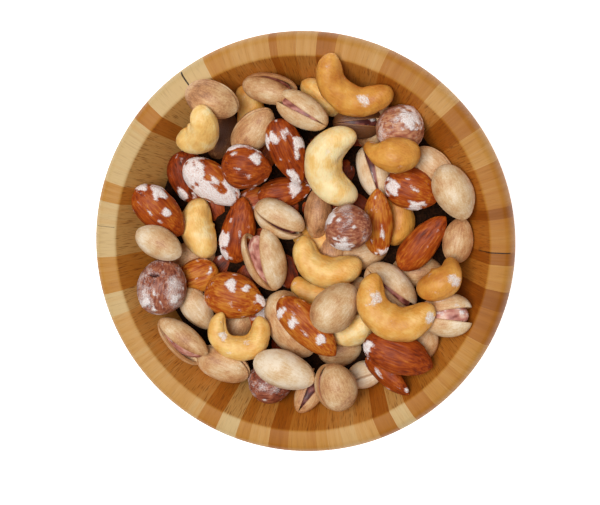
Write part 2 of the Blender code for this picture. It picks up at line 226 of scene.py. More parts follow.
# %% The staves of the bowl
PALE, LIGHT, TAN, CARAMEL, BROWN, DARK = 0.1, 0.3, 0.45, 0.6, 0.75, 0.9
STAVES = [
    (2, CARAMEL), (5.7, CARAMEL), (8.5, CARAMEL), (11.6, DARK), (15.3, CARAMEL), (24.1, CARAMEL),
    (33.7, TAN), (42.6, BROWN), (49.5, LIGHT), (53.4, CARAMEL), (65.5, CARAMEL), (70.7, LIGHT),
    (75.8, TAN), (79.7, TAN), (85.1, BROWN), (90.9, LIGHT), (96.3, TAN), (98.6, BROWN),
    (107.2, LIGHT), (117.6, TAN), (124.7, PALE), (130.8, PALE), (137.2, PALE), (142.8, CARAMEL),
    (152, PALE), (162.1, PALE), (167.8, TAN), (175, PALE), (184, PALE), (188.3, TAN), (194.7, TAN),
    (201.4, PALE), (209.2, LIGHT), (218.3, LIGHT), (227.5, LIGHT), (235.8, LIGHT), (239.4, LIGHT),
    (245.4, CARAMEL), (251.4, PALE), (255.3, TAN), (261.1, LIGHT), (266.8, BROWN), (273.3, TAN),
    (275.1, CARAMEL), (278.4, TAN), (282.5, LIGHT), (293.3, LIGHT), (298.9, BROWN), (304.3, PALE),
    (311.1, CARAMEL), (322.4, TAN), (332.7, TAN), (342.5, BROWN), (348.1, DARK), (355.4, TAN),
    (358.9, BROWN), (360, CARAMEL),
]
STAVE_WIDTH = 6.0           # degrees: a wider run of one tone is more than one stave
STAVE_STEP = 0.95           # degrees between the rings of vertices
# Joints that have opened: the angle, where each starts and ends along the profile from the rim's
# inner edge, half its width, and how solid its line is
CRACKS = [
    (124.7, -8.0, -1.2, 0.26, 0.9),
    (358.9, -7.0, 9.0, 0.2, 0.4),
    (175.0, -7.0, -0.5, 0.12, 0.2),
]
TONE_SPREAD = 0.06          # how far a stave's tone may lie from that of its run


def each_stave():
    """The width in degrees and the tone of every stave, once round the bowl."""
    dice = random.Random(7)
    start = 0.0
    for end, tone in STAVES:
        count = max(1, round((end - start) / STAVE_WIDTH))
        for _ in range(count):
            yield (end - start) / count, tone + dice.uniform(-TONE_SPREAD, TONE_SPREAD)
        start = end


print("the bowl has", len(list(each_stave())), "staves")

# %% [markdown]
# A spin sweeps the profile round the axis. Here every stave is its own short spin that goes on
# from the last edge of the one before, so the joints between staves fall on mesh edges. Layers
# on the mesh carry what the material needs: on each face the tone of its stave, and on each
# vertex how far along the profile it lies. The spin copies the second one by itself.

# %% The turned bowl
def turned_bowl():
    """The bowl as one closed mesh of staves."""
    mesh = bmesh.new()
    tone = mesh.faces.layers.float.new("tone")
    along = mesh.verts.layers.float.new("along")
    profile = outer_profile() + inner_profile(HOLLOW_STEPS)
    verts = [mesh.verts.new((radius * MM, 0.0, z * MM)) for radius, z in profile]
    for last, vert in zip(verts, verts[1:]):
        vert[along] = last[along] + (vert.co - last.co).length / MM
    edges = [mesh.edges.new(pair) for pair in zip(verts, verts[1:])]
    front = verts + edges
    for width, shade in each_stave():
        before = set(mesh.faces)
        swept = bmesh.ops.spin(mesh, geom=front, cent=(0, 0, 0), axis=(0, 0, 1),
                               angle=math.radians(width), steps=max(2, round(width / STAVE_STEP)))
        front = swept["geom_last"]
        for face in set(mesh.faces) - before:
            face[tone] = shade
    bmesh.ops.remove_doubles(mesh, verts=mesh.verts, dist=WELD * MM)
    bmesh.ops.recalc_face_normals(mesh, faces=mesh.faces)
    rim = [edge for edge in mesh.edges
           if all(abs(vert.co.z - BOWL_HEIGHT * MM) < SAME
                  and abs(vert.co.xy.length - RIM_INNER_RADIUS * MM) < SAME
                  for vert in edge.verts)]
    bmesh.ops.bevel(mesh, geom=rim, offset=RIM_EASE * MM, offset_type="OFFSET", affect="EDGES",
                    segments=EASE_STEPS, profile=0.5, material=-1)
    for face in mesh.faces:
        face.smooth = True
        face.material_index = int(face.calc_center_median().z < BASE_BELOW * MM)
    data = bpy.data.meshes.new("bowl_of_staves")
    mesh.to_mesh(data)
    mesh.free()
    data.set_sharp_from_angle(angle=SHARP)
    return data


bowl_mesh = turned_bowl()
print("the bowl's mesh has", len(bowl_mesh.vertices), "vertices")

# %% [markdown]
# Bamboo is a grass. It has no growth rings, only fibres that run straight along the cane, a few
# tenths of a millimetre wide. Cut and sanded, they show as fine light and dark streaks, with short
# brown dashes where a bundle of vessels comes to the surface. Oil and a thin clear varnish turn
# it amber, most of all inside, where the lathe left a smooth wall. There the wall is also painted
# darker, as shade and as warm light reflected from the nuts.
#
# The streaks are noise that is stretched along the fibre. To run round and down the bowl, the
# noise reads the angle round the axis and the distance along the profile, in millimetres.
# A tree of rings, as for timber, would be wrong here.

# %% Laminated bamboo
TURN_RADIUS = 64.0          # the angle round the bowl times this is a way in mm at the rim
STRIP_WIDTH = 9.0           # of the straight strips in the underside
# how many fit in a mm across the fibre and along it, and how much they change with the tone
STREAKS = (2.4, 0.08, 1.0)          # 0.4 mm wide and some 12 mm long
BROAD_STREAKS = (0.6, 0.03, 1.0)    # 1.7 mm wide
VESSELS = (3.4, 0.2, 1.0)           # 0.3 mm wide and some 5 mm long
TONE_SHIFT = 90.0           # distance in the noise between the palest and the darkest stave
HOLLOW_EDGE = 0.8           # mm over which the rim's finish turns into the hollow's amber and painted shade


def bamboo(name, flat_strips=False):
    """Turned, sanded and varnished bamboo: satin, streaked along the fibre, warm."""
    made, tree, shader = new_material(name)
    place = add(tree, "TexCoord").outputs["Object"]
    if flat_strips:
        x, y, _ = add(tree, "SeparateXYZ", {"Vector": place}).outputs
        # the underside is a disc of straight strips
        across = times(tree, x, 1.0 / MM)
        run = times(tree, y, 1.0 / MM)
        strip = add(tree, "Math", {0: across, 1: STRIP_WIDTH}, operation="SNAP").outputs[0]
        tone = add(tree, "TexWhiteNoise", {"W": strip}, noise_dimensions="1D").outputs["Value"]
    else:
        # the angle is read from behind, so that it wraps at the joint between two staves
        back = add(tree, "VectorMath", {0: place, "Scale": -1.0}, operation="SCALE").outputs[0]
        back_x, back_y, _ = add(tree, "SeparateXYZ", {"Vector": back}).outputs
        angle = add(tree, "Math", {0: back_y, 1: back_x}, operation="ARCTAN2").outputs[0]
        across = times(tree, angle, TURN_RADIUS)
        run = layer(tree, "along")
        tone = layer(tree, "tone")
    shift = times(tree, tone, TONE_SHIFT)
    fibre = add(tree, "CombineXYZ", {"X": across, "Y": run, "Z": shift}).outputs[0]
    fine = waves(tree, fibre, STREAKS, 3.0)
    broad = waves(tree, fibre, BROAD_STREAKS, 2.0)
    vessels = waves(tree, fibre, VESSELS, 1.0)
    dashes = add(tree, "MapRange", {"Value": vessels, "From Min": 0.55,
                                    "From Max": 0.72}).outputs[0]
    hollow = add(tree, "MapRange", {"Value": run, "From Min": HOLLOW_STARTS,
                                    "From Max": HOLLOW_STARTS + HOLLOW_EDGE}).outputs[0]
    # streaks show strongly on the wall and faintly on the rim and outside, which are rubbed smooth
    depth = times_plus(tree, hollow, 0.25, 0.07)
    drift = add(tree, "Math", {0: fine, 1: 0.5}, operation="SUBTRACT").outputs[0]
    drift = times(tree, drift, depth)
    drift = times_plus(tree, broad, 0.3, drift)
    streaked = add(tree, "Math", {0: tone, 1: drift}).outputs[0]
    streaked = add(tree, "Math", {0: streaked, 1: 0.15}, operation="SUBTRACT").outputs[0]
    wood = add(tree, "ValToRGB", {"Fac": streaked}, stops=[
        (PALE, "#CAAA75"), (LIGHT, "#C39150"), (TAN, "#B98138"), (CARAMEL, "#AE7028"),
        (BROWN, "#A2621B"), (DARK, "#8E500E")]).outputs["Color"]
    # and so do the dashes of the vessels
    dashed = times_plus(tree, hollow, 0.55, 0.22)
    dashed = times(tree, dashes, dashed)
    wood = blended(tree, dashed, wood, colour("#7A4A1C"))
    if not flat_strips:
        # darker amber in the hollow, past the rim's inner edge: partly varnish, partly painted shade
        # and painted warm light reflected from the nuts
        inside = times(tree, hollow, 0.7)
        wood = blended(tree, inside, wood, colour("#FFD68E"), "MULTIPLY")
        # joints that have opened: thin black lines at their angles, over part of the rim
        for degrees, first, last, half, solid in CRACKS:
            middle = TURN_RADIUS * math.radians(degrees - 180.0)
            here = add(tree, "Math", {0: across, 1: middle, 2: half},
                       operation="COMPARE").outputs[0]
            past = add(tree, "Math", {0: run, 1: HOLLOW_STARTS + first},
                       operation="GREATER_THAN").outputs[0]
            short = add(tree, "Math", {0: run, 1: HOLLOW_STARTS + last},
                        operation="LESS_THAN").outputs[0]
            part = times(tree, past, short)
            part = times(tree, part, here)
            patchy = add(tree, "MapRange", {"Value": fine, "From Min": 0.35, "From Max": 0.6,
                                            "To Min": solid}).outputs[0]
            part = times(tree, part, patchy)
            wood = blended(tree, part, wood, colour("#2E1A0C"))
    dull = add(tree, "MapRange", {"Value": fine, "To Min": 0.45, "To Max": 0.65}).outputs[0]
    bump = add(tree, "Bump", {"Height": fine, "Strength": 0.3, "Distance": 0.0002}).outputs[0]
    tree.links.new(wood, shader.inputs["Base Color"])
    tree.links.new(dull, shader.inputs["Roughness"])
    tree.links.new(bump, shader.inputs["Normal"])
    shader.inputs["IOR"].default_value = 1.5
    shader.inputs["Specular IOR Level"].default_value = 0.22
    return made


staves_wood = bamboo("varnished_bamboo_staves")
base_wood = bamboo("varnished_bamboo_base", flat_strips=True)
finished("bowl_of_staves", bowl_mesh, [staves_wood, base_wood], "bamboo_bowl")

# %% [markdown]
# The nuts of the CAD heap came to rest by a simple rule, and the same rule is repeated here from
# the same table, so every fine nut lies exactly where its simple solid lies. A physics run could
# pile nuts up too, but it would never give this bowl's own order of nuts.
#
# A line of the table gives a nut's place in the plan, its heading, its length and width, and how
# it rolls. The last values are only for the eye: how dark it is, the angle of its seam, and where
# salt has caked on it, as circles in the plan.

# %% The table of nuts
@dataclass
class Nut:
    """One nut: its plan place, heading and size in mm and degrees, then its looks.

    A long nut points along +X before it is turned, and a cashew opens to +Y.
    """
    kind: str
    x: float
    y: float
    yaw: float
    length: float
    width: float
    roll: float = 0.0
    pitch: float = 0.0
    bend: float = 120.0     # of a cashew, between the middles of its lobes
    taper: float = 0.1      # how much fuller a cashew's lobe at +X is
    mouth: float = 0.0      # width of the gap at a pistachio's open end
    deep: bool = False      # half sunk in the core, seen only through the gaps
    tint_and_shade: float = 0.5       # from the palest of its kind at 0 to the darkest at 1: its own colour, with painted shade on nuts deep in shadow and painted light on those below 0
    seam: float = 90.0      # of a closed pistachio, where its joint is, in degrees from the top
    salt: tuple = ()        # cakes of salt: x, y and radius in the plan
    pits: tuple = ()        # of a hazelnut, dark holes in its crust: x, y and length in the plan
    gape: float = 0.0       # how much wider an open shell stands than its solid
    twist: float = 0.0      # how far it is rolled on from its solid, in degrees
    slim: float = 1.0       # its girth to its solid's
    hook: float = 0.0       # how much more a cashew is bent, in degrees
    tail: float = 0.0       # how much thinner a cashew's lobe at -X is, or at +X where negative
    kernel: float = 0.5     # from a pale pink kernel at 0 to a dark red one at 1, darker as painted shade behind a narrow slit
    dusting: float = 0.0    # how much more salt dust lies all over it
    lift: float = 0.0       # how far it is moved from its solid towards the eye


# A tint above 1 paints shade on a nut that lies deep in a gap, and a tint below 0 paints light on a
# nut that lies in shadow.
NUTS = [
    # deep between the others
    Nut("pistachio", -28, 35.5, 70, 18, 11, deep=True, tint_and_shade=1.5, lift=-1.5),
    Nut("almond", -16, 12.5, 20, 20, 12, deep=True),
    Nut("almond", -13.5, 29, 60, 20, 12, deep=True),
    Nut("cashew", 4, 1, 0, 20, 9, deep=True),
    Nut("pistachio", 19, -3.5, 20, 18, 11, deep=True),
    Nut("pistachio", 9, -3.5, 90, 17, 11, deep=True),
    Nut("pistachio", 23.5, 39, 70, 17, 11, deep=True),
    Nut("cashew", 4, -17, 0, 20, 9, deep=True),
    Nut("pistachio", 17, -19.5, 80, 17, 11, deep=True),
    Nut("pistachio", 40, -34.5, 60, 13, 9, deep=True),
    Nut("pistachio", 36.5, -9, 0, 17, 11, deep=True),
    Nut("pistachio", -38, -6, 10, 17, 11, deep=True),
    Nut("almond", -14, -23.5, 0, 20, 12, deep=True, salt=((-14, -24, 4),)),
    Nut("pistachio", -23, -28, 60, 17, 11, deep=True),
    Nut("cashew", -18.5, 44.5, 90, 15, 8.5, bend=80, deep=True),
    Nut("pistachio", 11.5, -36, 10, 15, 11, deep=True),
    Nut("almond", 19.5, 34.5, 0, 18, 11, deep=True, tint_and_shade=0.9),
    # between
    Nut("pistachio", -12, 51.3, -10, 17.5, 12, mouth=2.6, gape=2.4, twist=-62, kernel=0.6,
        tint_and_shade=0.55),
    Nut("cashew", 3, 48.5, -35, 17, 9, roll=-90, bend=90, tint_and_shade=0.3),
    Nut("pistachio", 16.3, 39.5, 0, 16, 11, mouth=3, tint_and_shade=1.8, kernel=1.1, lift=-2),
    Nut("almond", -39.5, 20.8, -75, 19, 13, tint_and_shade=1.1, salt=((-41, 15, 1.5),)),
    Nut("almond", -7, 16, 10, 18, 10, tint_and_shade=0.7, salt=((-4, 17, 2.2),)),
    Nut("pistachio", 42.8, 25.8, -40, 16, 10, seam=70, tint_and_shade=0.35),
    Nut("pistachio", 4.5, 9, 88, 17, 9, tint_and_shade=0.8),
    Nut("cashew", 30.8, 7, 90, 16, 9, bend=80, tint_and_shade=0.75),
    Nut("almond", -36.9, -11.7, 200, 16, 11, tint_and_shade=0.15, lift=1),
    Nut("pistachio", -36.5, -22.5, -60, 16, 9.5, tint_and_shade=0.1),
    Nut("pistachio", -4.5, -28, -60, 24, 15.5, tint_and_shade=0.4),
    Nut("cashew", 15.5, -29, 25, 15, 9, bend=80, tint_and_shade=0.1, lift=4),
    Nut("pistachio", 20, -45, 20, 14, 9, seam=0, tint_and_shade=-0.1, lift=2.5),
    Nut("pistachio", 1, -53, 60, 15, 9, mouth=3, tint_and_shade=0.6, gape=2, kernel=1.0),
    Nut("pistachio", 28.5, -14.3, -40, 20, 13, mouth=3, gape=-0.8, tint_and_shade=0.1, lift=2),
    Nut("pistachio", 51.5, 1, 80, 15, 9.5, tint_and_shade=0.6),
    Nut("hazelnut", -11.3, -49.4, 0, 14.3, 14.3, tint_and_shade=0.9, dusting=0.02, salt=((-12, -47, 1.6),)),
    Nut("pistachio", -31.4, 46.7, -20, 17.5, 12, tint_and_shade=0.6, seam=70),
    Nut("almond", 28.4, -45.5, -38, 18.5, 9, roll=50, tint_and_shade=0.7),
    Nut("pistachio", -26.5, -43, -20, 19, 11.8, tint_and_shade=0.4, seam=62),
    Nut("hazelnut", 31.8, 37.8, 0, 15.2, 15.2, tint_and_shade=0.05, dusting=-0.03, salt=((35, 41, 4),)),
    Nut("pistachio", -18.5, 37.5, 48, 18.6, 11.3, tint_and_shade=0.5, seam=60),
    Nut("cashew", -36, 3, -78, 19.5, 10.5, bend=70, tint_and_shade=0.2),
    Nut("almond", -50.2, 9, -48, 21.5, 13, tint_and_shade=0.6,
        dusting=-0.06, salt=((-49, 16.5, 2.8), (-55.5, 17.5, 2.4), (-46.5, 9, 1.2), (-49, 6, 1.0))),
    Nut("hazelnut", -49, -16.7, 80, 18.3, 16.2, tint_and_shade=0.6, dusting=0.12,
        pits=((-51.3, -12.2, 3.6),), salt=((-54, -21, 1.5), (-44, -20, 1.5))),
    Nut("almond", -24.5, -19, -15, 20.5, 15.3, tint_and_shade=0.3,
        dusting=-0.06, salt=((-25, -14.5, 1.6), (-20, -16, 1.5), (-15, -20, 2.4))),
    # on top
    Nut("cashew", -35.2, 36, 48, 21.5, 9.3, pitch=28, bend=100, tint_and_shade=0.2),
    Nut("almond", -30.8, 20.5, -40, 22, 12.5, tint_and_shade=0.5,
        salt=((-39, 28, 4.5), (-39, 22, 4.5), (-33, 16, 4), (-27, 13, 4), (-24, 17, 3))),
    Nut("almond", -19.5, 25, -5, 16.5, 14, tint_and_shade=0.7, salt=((-24, 31, 2.6), (-16, 27, 2))),
    Nut("almond", -6.4, 29.8, -70, 22.6, 11.5, tint_and_shade=0.75,
        salt=((-11.5, 33, 2.4), (-2, 32, 1.8), (-4, 22, 2.4))),
    Nut("pistachio", -1.5, 41.8, 150, 18, 10.5, mouth=1.5, tint_and_shade=0.3, gape=1),
    Nut("cashew", 14.2, 50, -31, 27.5, 10.5, bend=115, tint_and_shade=0.75, slim=0.86, hook=25,
        salt=((19, 46.5, 2),)),
    Nut("cashew", 7.2, 26, -90, 28, 11.8, bend=130, tint_and_shade=0.0, slim=0.93, hook=10),
    Nut("pistachio", 20.4, 20.8, 105, 17.8, 11, mouth=2.5, tint_and_shade=0.1, gape=0.6, kernel=0.9, lift=1),
    Nut("almond", 35.4, 17.8, -20, 18, 13.4, tint_and_shade=0.55, dusting=-0.1,
        salt=((28, 18, 2.6), (36, 10.5, 2.6))),
    Nut("pistachio", 50, 16.5, -65, 18.5, 12, tint_and_shade=0.2),
    Nut("cashew", 26.4, 29.8, -8, 19.5, 10.3, roll=-80, bend=80, taper=0.25, tint_and_shade=0.72,
        tail=0.35, twist=25),
    Nut("almond", 25.3, 6.6, 90, 22.5, 10.2, tint_and_shade=0.2, lift=3, salt=((26, -4.5, 2.2),)),
    Nut("hazelnut", 14.2, 5.5, 0, 17, 17, tint_and_shade=0.4, slim=0.86, dusting=-0.06,
        salt=((8, 8, 3), (12, -2, 3))),
    Nut("almond", 39.5, 1, 50, 23, 10.3, tint_and_shade=0.6, dusting=-0.2),
    Nut("almond", -23.5, 3, 80, 23, 11.5, tint_and_shade=0.7,
        dusting=-0.06, salt=((-28, 0, 2.4), (-27, -5, 2.2))),
    Nut("pistachio", -8.8, 8, -30, 18, 12, roll=40, mouth=2.5, tint_and_shade=0.2, gape=-0.5, twist=-15,
        kernel=1.0),
    Nut("pistachio", -49.2, -0.5, -28, 16.5, 10, tint_and_shade=0.1),
    Nut("pistachio", -14.5, -7.8, 110, 21, 14.7, roll=-35, mouth=4, tint_and_shade=0.3, gape=3, twist=8,
        kernel=0.15),
    Nut("cashew", 6, -6.5, -22, 25, 10.3, bend=110, tint_and_shade=0.3, slim=0.92, hook=15),
    Nut("cashew", -23.2, -33.2, -5, 21, 8.9, bend=160, tint_and_shade=0.3, slim=0.77, hook=45,
        salt=((-28, -32, 1.8),)),
    Nut("pistachio", -42.8, -33.9, -42, 19.5, 12, roll=35, mouth=3.5, tint_and_shade=0.4, gape=3, kernel=0.2),
    Nut("pistachio", -7, -43.4, -20, 21, 12, tint_and_shade=-0.1),
    Nut("almond", 0.8, -28.8, -45, 26, 12, tint_and_shade=0.3,
        dusting=-0.06, salt=((-8, -24, 1.6), (-4, -27, 1.8), (5, -33, 1.5))),
    Nut("pistachio", 9.5, -22.5, 50, 18, 13.5, tint_and_shade=0.35),
    Nut("pistachio", 46.8, -25, 5, 18, 13.5, mouth=4, tint_and_shade=0.1, gape=1, kernel=0.05,
        dusting=0.3),
    Nut("almond", 30.5, -37.4, -20, 23.5, 13.5, tint_and_shade=0.8, dusting=-0.5,
        salt=((20, -35, 2.5),)),
    Nut("cashew", 45.2, -12.5, 48, 17.5, 11, roll=-80, bend=80, tint_and_shade=0.8,
        salt=((48.5, -12, 1.8),), tail=-0.4, twist=35),
    Nut("cashew", 28.7, -23.5, -28, 28, 10.8, bend=155, tint_and_shade=0.55, slim=0.92,
        salt=((23, -18.5, 2), (42, -25, 2))),
    Nut("pistachio", 8.6, -48.6, 112, 16, 15.5, roll=-60, mouth=2.5, tint_and_shade=0.4, gape=1, twist=20),
]
kinds = [nut.kind for nut in NUTS]
print("the heap has", len(NUTS), "nuts:", {kind: kinds.count(kind) for kind in sorted(set(kinds))})

# %% [markdown]
# Every nut is a ball that is pulled into its form: an almond is flat with a tip, a pistachio
# round with two blunt points, and a cashew is a tube along an arc. These few formulas are those
# of the CAD heap. They don't make the nuts look real yet, but they decide how each one lies.
# Two numbers say how a nut's ends taper, so one function serves every straight kind.

# %% The forms of the nuts
FULLNESS = 1.03             # a nut's real size to its size read in the plane of the rim

# For each kind: thickness to width, and how its two ends taper
KINDS = {
    "almond": (0.64, 0.68, 0.50),
    "pistachio": (0.92, 0.58, 0.50),
    "hazelnut": (0.96, 0.52, 0.50),
    "cashew": (0.94, 0.0, 0.0),
}
LIP_SHIFT = math.radians(23.0)  # crowds an open shell's points towards its lips
SPLIT = 0.05                # how near the joint a point lies in the open mouth
SPLIT_DEPTH = 0.72          # how far out such a point still stands
LOBE_END = 3.5              # exponent that rounds a cashew's ends


def girth(along, tip, blunt):
    """How full a nut is along its length, from 0 at its ends to 1 at its widest."""
    widest = (blunt - tip) / (blunt + tip)
    peak = (1.0 - widest) ** tip * (1.0 + widest) ** blunt
    along = np.clip(along, -1.0, 1.0)
    return (1.0 - along) ** tip * (1.0 + along) ** blunt / peak


def moulded(nut, ball):
    """Shapes points of a unit ball, whose poles lie on X, into the nut."""
    flat, tip, blunt = KINDS[nut.kind]
    along = ball[:, 0]
    side = np.arctan2(ball[:, 1], ball[:, 2])
    if nut.kind == "cashew":
        return bent(nut, along, side, flat) * FULLNESS
    if nut.mouth:
        side = side - LIP_SHIFT * np.sin(2.0 * side)
    full = girth(along, tip, blunt) * (nut.width - nut.mouth / 2) / 2
    across = full * np.sin(side)
    up = full * np.cos(side) * flat
    if nut.mouth:
        seam = np.abs(np.sin(side)) < SPLIT
        opened = nut.mouth / 4 * (1.0 + along)
        across = np.where(seam, 0.0, across + np.sign(across) * opened)
        up = np.where(seam, up * SPLIT_DEPTH, up)
    return np.column_stack((along * nut.length / 2, across, up)) * FULLNESS


def bent(nut, along, side, flat):
    """A cashew: a tube with round ends, one lobe fuller, along an arc that opens to +Y."""
    half = math.radians(nut.bend) / 2
    arc = (nut.length - nut.width) / (2.0 * math.sin(half))
    reach = half + nut.width / 2 / arc
    full = np.sqrt(np.clip(1.0 - np.abs(along) ** LOBE_END, 0.0, 1.0)) * nut.width / 2
    full = full * (1.0 + nut.taper * along)
    outward = arc + full * np.sin(side)
    angle = along * reach
    sag = arc * (1.0 + math.cos(half)) / 2
    return np.column_stack((outward * np.sin(angle), sag - outward * np.cos(angle),
                            full * np.cos(side) * flat))


print("an almond is", KINDS["almond"][0], "as thick as it is wide")

# %% [markdown]
# A nut is laid by lowering a cloud of points that stands for its skin. The pile is a map of
# heights, one square a millimetre. The nut stops where it meets the pile or the bowl, tries a few
# leans and small slides, and takes the lowest seat. The plan places are read from an eye above
# the bowl, so a nut that comes to rest lower is moved along its line of sight.

# %% Laying the nuts
GAP = 0.35                  # free space between the bowl and what lies in it
CORE_EDGE_Z = 38.0          # the core's height at the wall
CORE_TOP_Z = 41.0           # and in the middle
CELL = 1.0                  # one square of the map of heights
MAP_MARGIN = 12.0           # how far the map goes on past the bowl
SINK = 2.0                  # how deep a nut is pressed into what carries it
SINK_DEEP = 6.0
CLOUD_POINTS = 1600
LEAN = 14.0                 # the steepest lean that is tried, in degrees
LEAN_COST = 0.05            # mm of height that a degree of lean has to save
SLIDES = (0.8, 1.6)         # how far a nut may slide from its plan place
SLIDE_WAYS = 8
SLIDE_COST = 0.6
LOWERINGS = 3               # how often the height and the line of sight are matched
EYE = (58.0, 47.0, 430.0)   # above the plane of the rim
TABLE_CENTRE = (2.1, 1.8)   # of the table's zero, from the bowl's axis


def bowl_top(radius):
    """Height of the bowl's upper surface at each radius, -inf outside it."""
    centre, arc = hollow_arc()
    wall = BOWL_HEIGHT - (RIM_INNER_RADIUS - radius) * math.tan(WALL_SLOPE)
    across = np.clip(radius - centre, 0.0, arc)
    hollow = FLOOR_Z + arc - np.sqrt(arc * arc - across * across)
    height = np.where(radius > wall_foot_radius(), wall, hollow)
    height = np.where(radius > RIM_INNER_RADIUS, BOWL_HEIGHT, height)
    return np.where(radius > BOWL_RADIUS, -np.inf, height)


def core_top(radius):
    """Height of the low dome that the nuts lie on."""
    edge = inner_profile(1, GAP, CORE_EDGE_Z)[0][0]
    across = np.clip(radius / edge, 0.0, 1.0)
    return CORE_EDGE_Z + (CORE_TOP_Z - CORE_EDGE_Z) * np.cos(across * math.pi / 2)


def turn(nut, pitch, roll):
    """Rotation of a nut that leans by pitch and roll beyond its own, as a matrix."""
    lean = Euler((math.radians(nut.roll + roll), -math.radians(nut.pitch + pitch),
                  math.radians(nut.yaw)), "XYZ")
    return np.array(lean.to_matrix())


def even_ball(count):
    """Points spread evenly over a unit ball along a spiral."""
    step = np.arange(count) + 0.5
    along = 1.0 - 2.0 * step / count
    spin = step * math.pi * (3.0 - math.sqrt(5.0))
    out = np.sqrt(1.0 - along * along)
    return np.column_stack((along, out * np.cos(spin), out * np.sin(spin)))


def plan_place(nut, height):
    """Where a nut is, seen from straight above, once it lies at a height."""
    below = BOWL_HEIGHT - height
    share = below / (EYE[2] + below)
    return [(value + zero - eye * share) / (1.0 - share)
            for value, zero, eye in zip((nut.x, nut.y), TABLE_CENTRE, EYE)]


def seat(nut, cloud, lean, slide, pile):
    """Lowers a leaning nut on the pile and in the bowl: its cost, matrix, place and tops."""
    matrix = turn(nut, *lean)
    skin = cloud @ matrix.T
    height = BOWL_HEIGHT
    sink = SINK_DEEP if nut.deep else SINK
    for _ in range(LOWERINGS):
        x, y = np.add(plan_place(nut, height), slide)
        cells = np.rint((skin[:, :2] + (x, y)) / CELL).astype(int) + len(pile) // 2
        on_pile = np.max(pile[cells[:, 0], cells[:, 1]] - skin[:, 2]) - sink
        radius = np.hypot(skin[:, 0] + x, skin[:, 1] + y)
        on_bowl = np.max(bowl_top(radius) - skin[:, 2]) + GAP / math.cos(WALL_SLOPE)
        height = max(on_pile, on_bowl)
    cost = height + LEAN_COST * np.abs(lean).sum() + SLIDE_COST * np.square(slide).sum()
    return cost, matrix, (x, y, height), cells, skin[:, 2] + height


def settled(nuts):
    """Drops the nuts one by one on the pile and gives each one's matrix and place."""
    reach = BOWL_RADIUS + MAP_MARGIN
    line = np.arange(-reach, reach + CELL, CELL)
    bare = core_top(np.hypot(*np.meshgrid(line, line, indexing="ij")))
    pile = bare.copy()
    ball = even_ball(CLOUD_POINTS)
    tips = (0.0, -LEAN / 2, LEAN / 2, -LEAN, LEAN)
    leans = [(pitch, roll) for pitch in tips for roll in tips]
    turns = [step * math.tau / SLIDE_WAYS for step in range(SLIDE_WAYS)]
    slides = [(0.0, 0.0)]
    slides += [(far * math.cos(a), far * math.sin(a)) for far in SLIDES for a in turns]
    result = []
    for nut in nuts:
        cloud = moulded(nut, ball)
        under = bare if nut.deep else pile
        slide = min(slides, key=lambda way: seat(nut, cloud, (0.0, 0.0), way, under)[0])
        lean = min(leans, key=lambda way: seat(nut, cloud, way, slide, under)[0])
        slide = min(slides, key=lambda way: seat(nut, cloud, lean, way, under)[0])
        _, matrix, place, cells, tops = seat(nut, cloud, lean, slide, under)
        np.maximum.at(pile, (cells[:, 0], cells[:, 1]), tops)
        result.append((matrix, place))
    return result


seats = settled(NUTS)
print("the highest nut lies at", round(max(place[2] for _, place in seats), 1), "mm")

# %% [markdown]
# Under the nuts of the table the bowl is full too. More almonds fill the deep gaps, on a plain
# six-cornered grid, turned at random. Only glimpses of them show, in the dark, so they are the
# darkest kind, with dark tints that paint the shade there, and need no forms of their own.

# %% The nuts that lie deepest
FILL_STEP = 12.0            # from nut to nut
FILL_ROW_STEP = 0.87        # from row to row, to the step from nut to nut
FILL_ROWS = range(-5, 6)
FILL_CLEAR = 0.75           # how near a nut of the table may be, to that step
FILL_REACH = 40.0
FILL_LENGTH, FILL_WIDTH = 18.0, 11.5
FILL_SINK = 0.8             # how far below the table's deep nuts they lie


def filling():
    """Deep nuts between those of the table, with their seats."""
    dice = random.Random(21)
    taken = [nut for nut in NUTS if nut.deep]
    fill = []
    for row in FILL_ROWS:
        for column in FILL_ROWS:
            x = (column + row % 2 / 2) * FILL_STEP
            y = row * FILL_STEP * FILL_ROW_STEP
            clear = all(math.hypot(nut.x - x, nut.y - y) > FILL_STEP * FILL_CLEAR
                        for nut in taken)
            if clear and math.hypot(x, y) < FILL_REACH:
                # their dark tints are painted shade for the deep gaps
                fill.append(Nut("almond", x, y, dice.uniform(0, 360), FILL_LENGTH, FILL_WIDTH,
                                deep=True, tint_and_shade=dice.uniform(0.8, 1.2)))
    return fill


fill = filling()
fill_seats = [(matrix, (x, y, height - FILL_SINK)) for matrix, (x, y, height)
              in (settled([nut])[0] for nut in fill)]
print(len(fill), "nuts fill the gaps")

# %% [markdown]
# Every nut starts as a ball. Its points are moved to the nut's form, then a second time along
# their normals, by what wrinkles, grooves and caked salt add. This is sculpting with numbers:
# slower to write than a bump map, but the silhouettes of the nuts are then rough as well.
#
# The material has to follow each nut, so every vertex keeps where it was on its own nut, in
# millimetres, before the nut was turned and laid. Vertices also keep the nut's tint, which is
# partly painted shade, how much salt lies there, and a mark for one special feature of the kind,
# such as a shell's lip, or the relief along which some kinds have shade and highlight painted.

# %% Shaping and gathering nuts
NOISE_GAP = 37.0            # distance in the noise between one nut and the next
SALT_FROM, SALT_FULL = 0.3, 0.85    # amounts at which salt starts to show and hides the skin
CAKE_TOP, CAKE_FALL = 1.25, 0.75    # a cake's amount in its middle, and what it loses by its edge

# For each kind: the sides and rings of its ball, for a nut on top and for a deep one
BALLS = {
    "almond": ((84, 44), (32, 24)),
    "pistachio": ((60, 38), (24, 20)),
    "hazelnut": ((80, 52), (80, 52)),
    "cashew": ((72, 64), (28, 28)),
    "kernel": ((56, 36), (56, 36)),
}


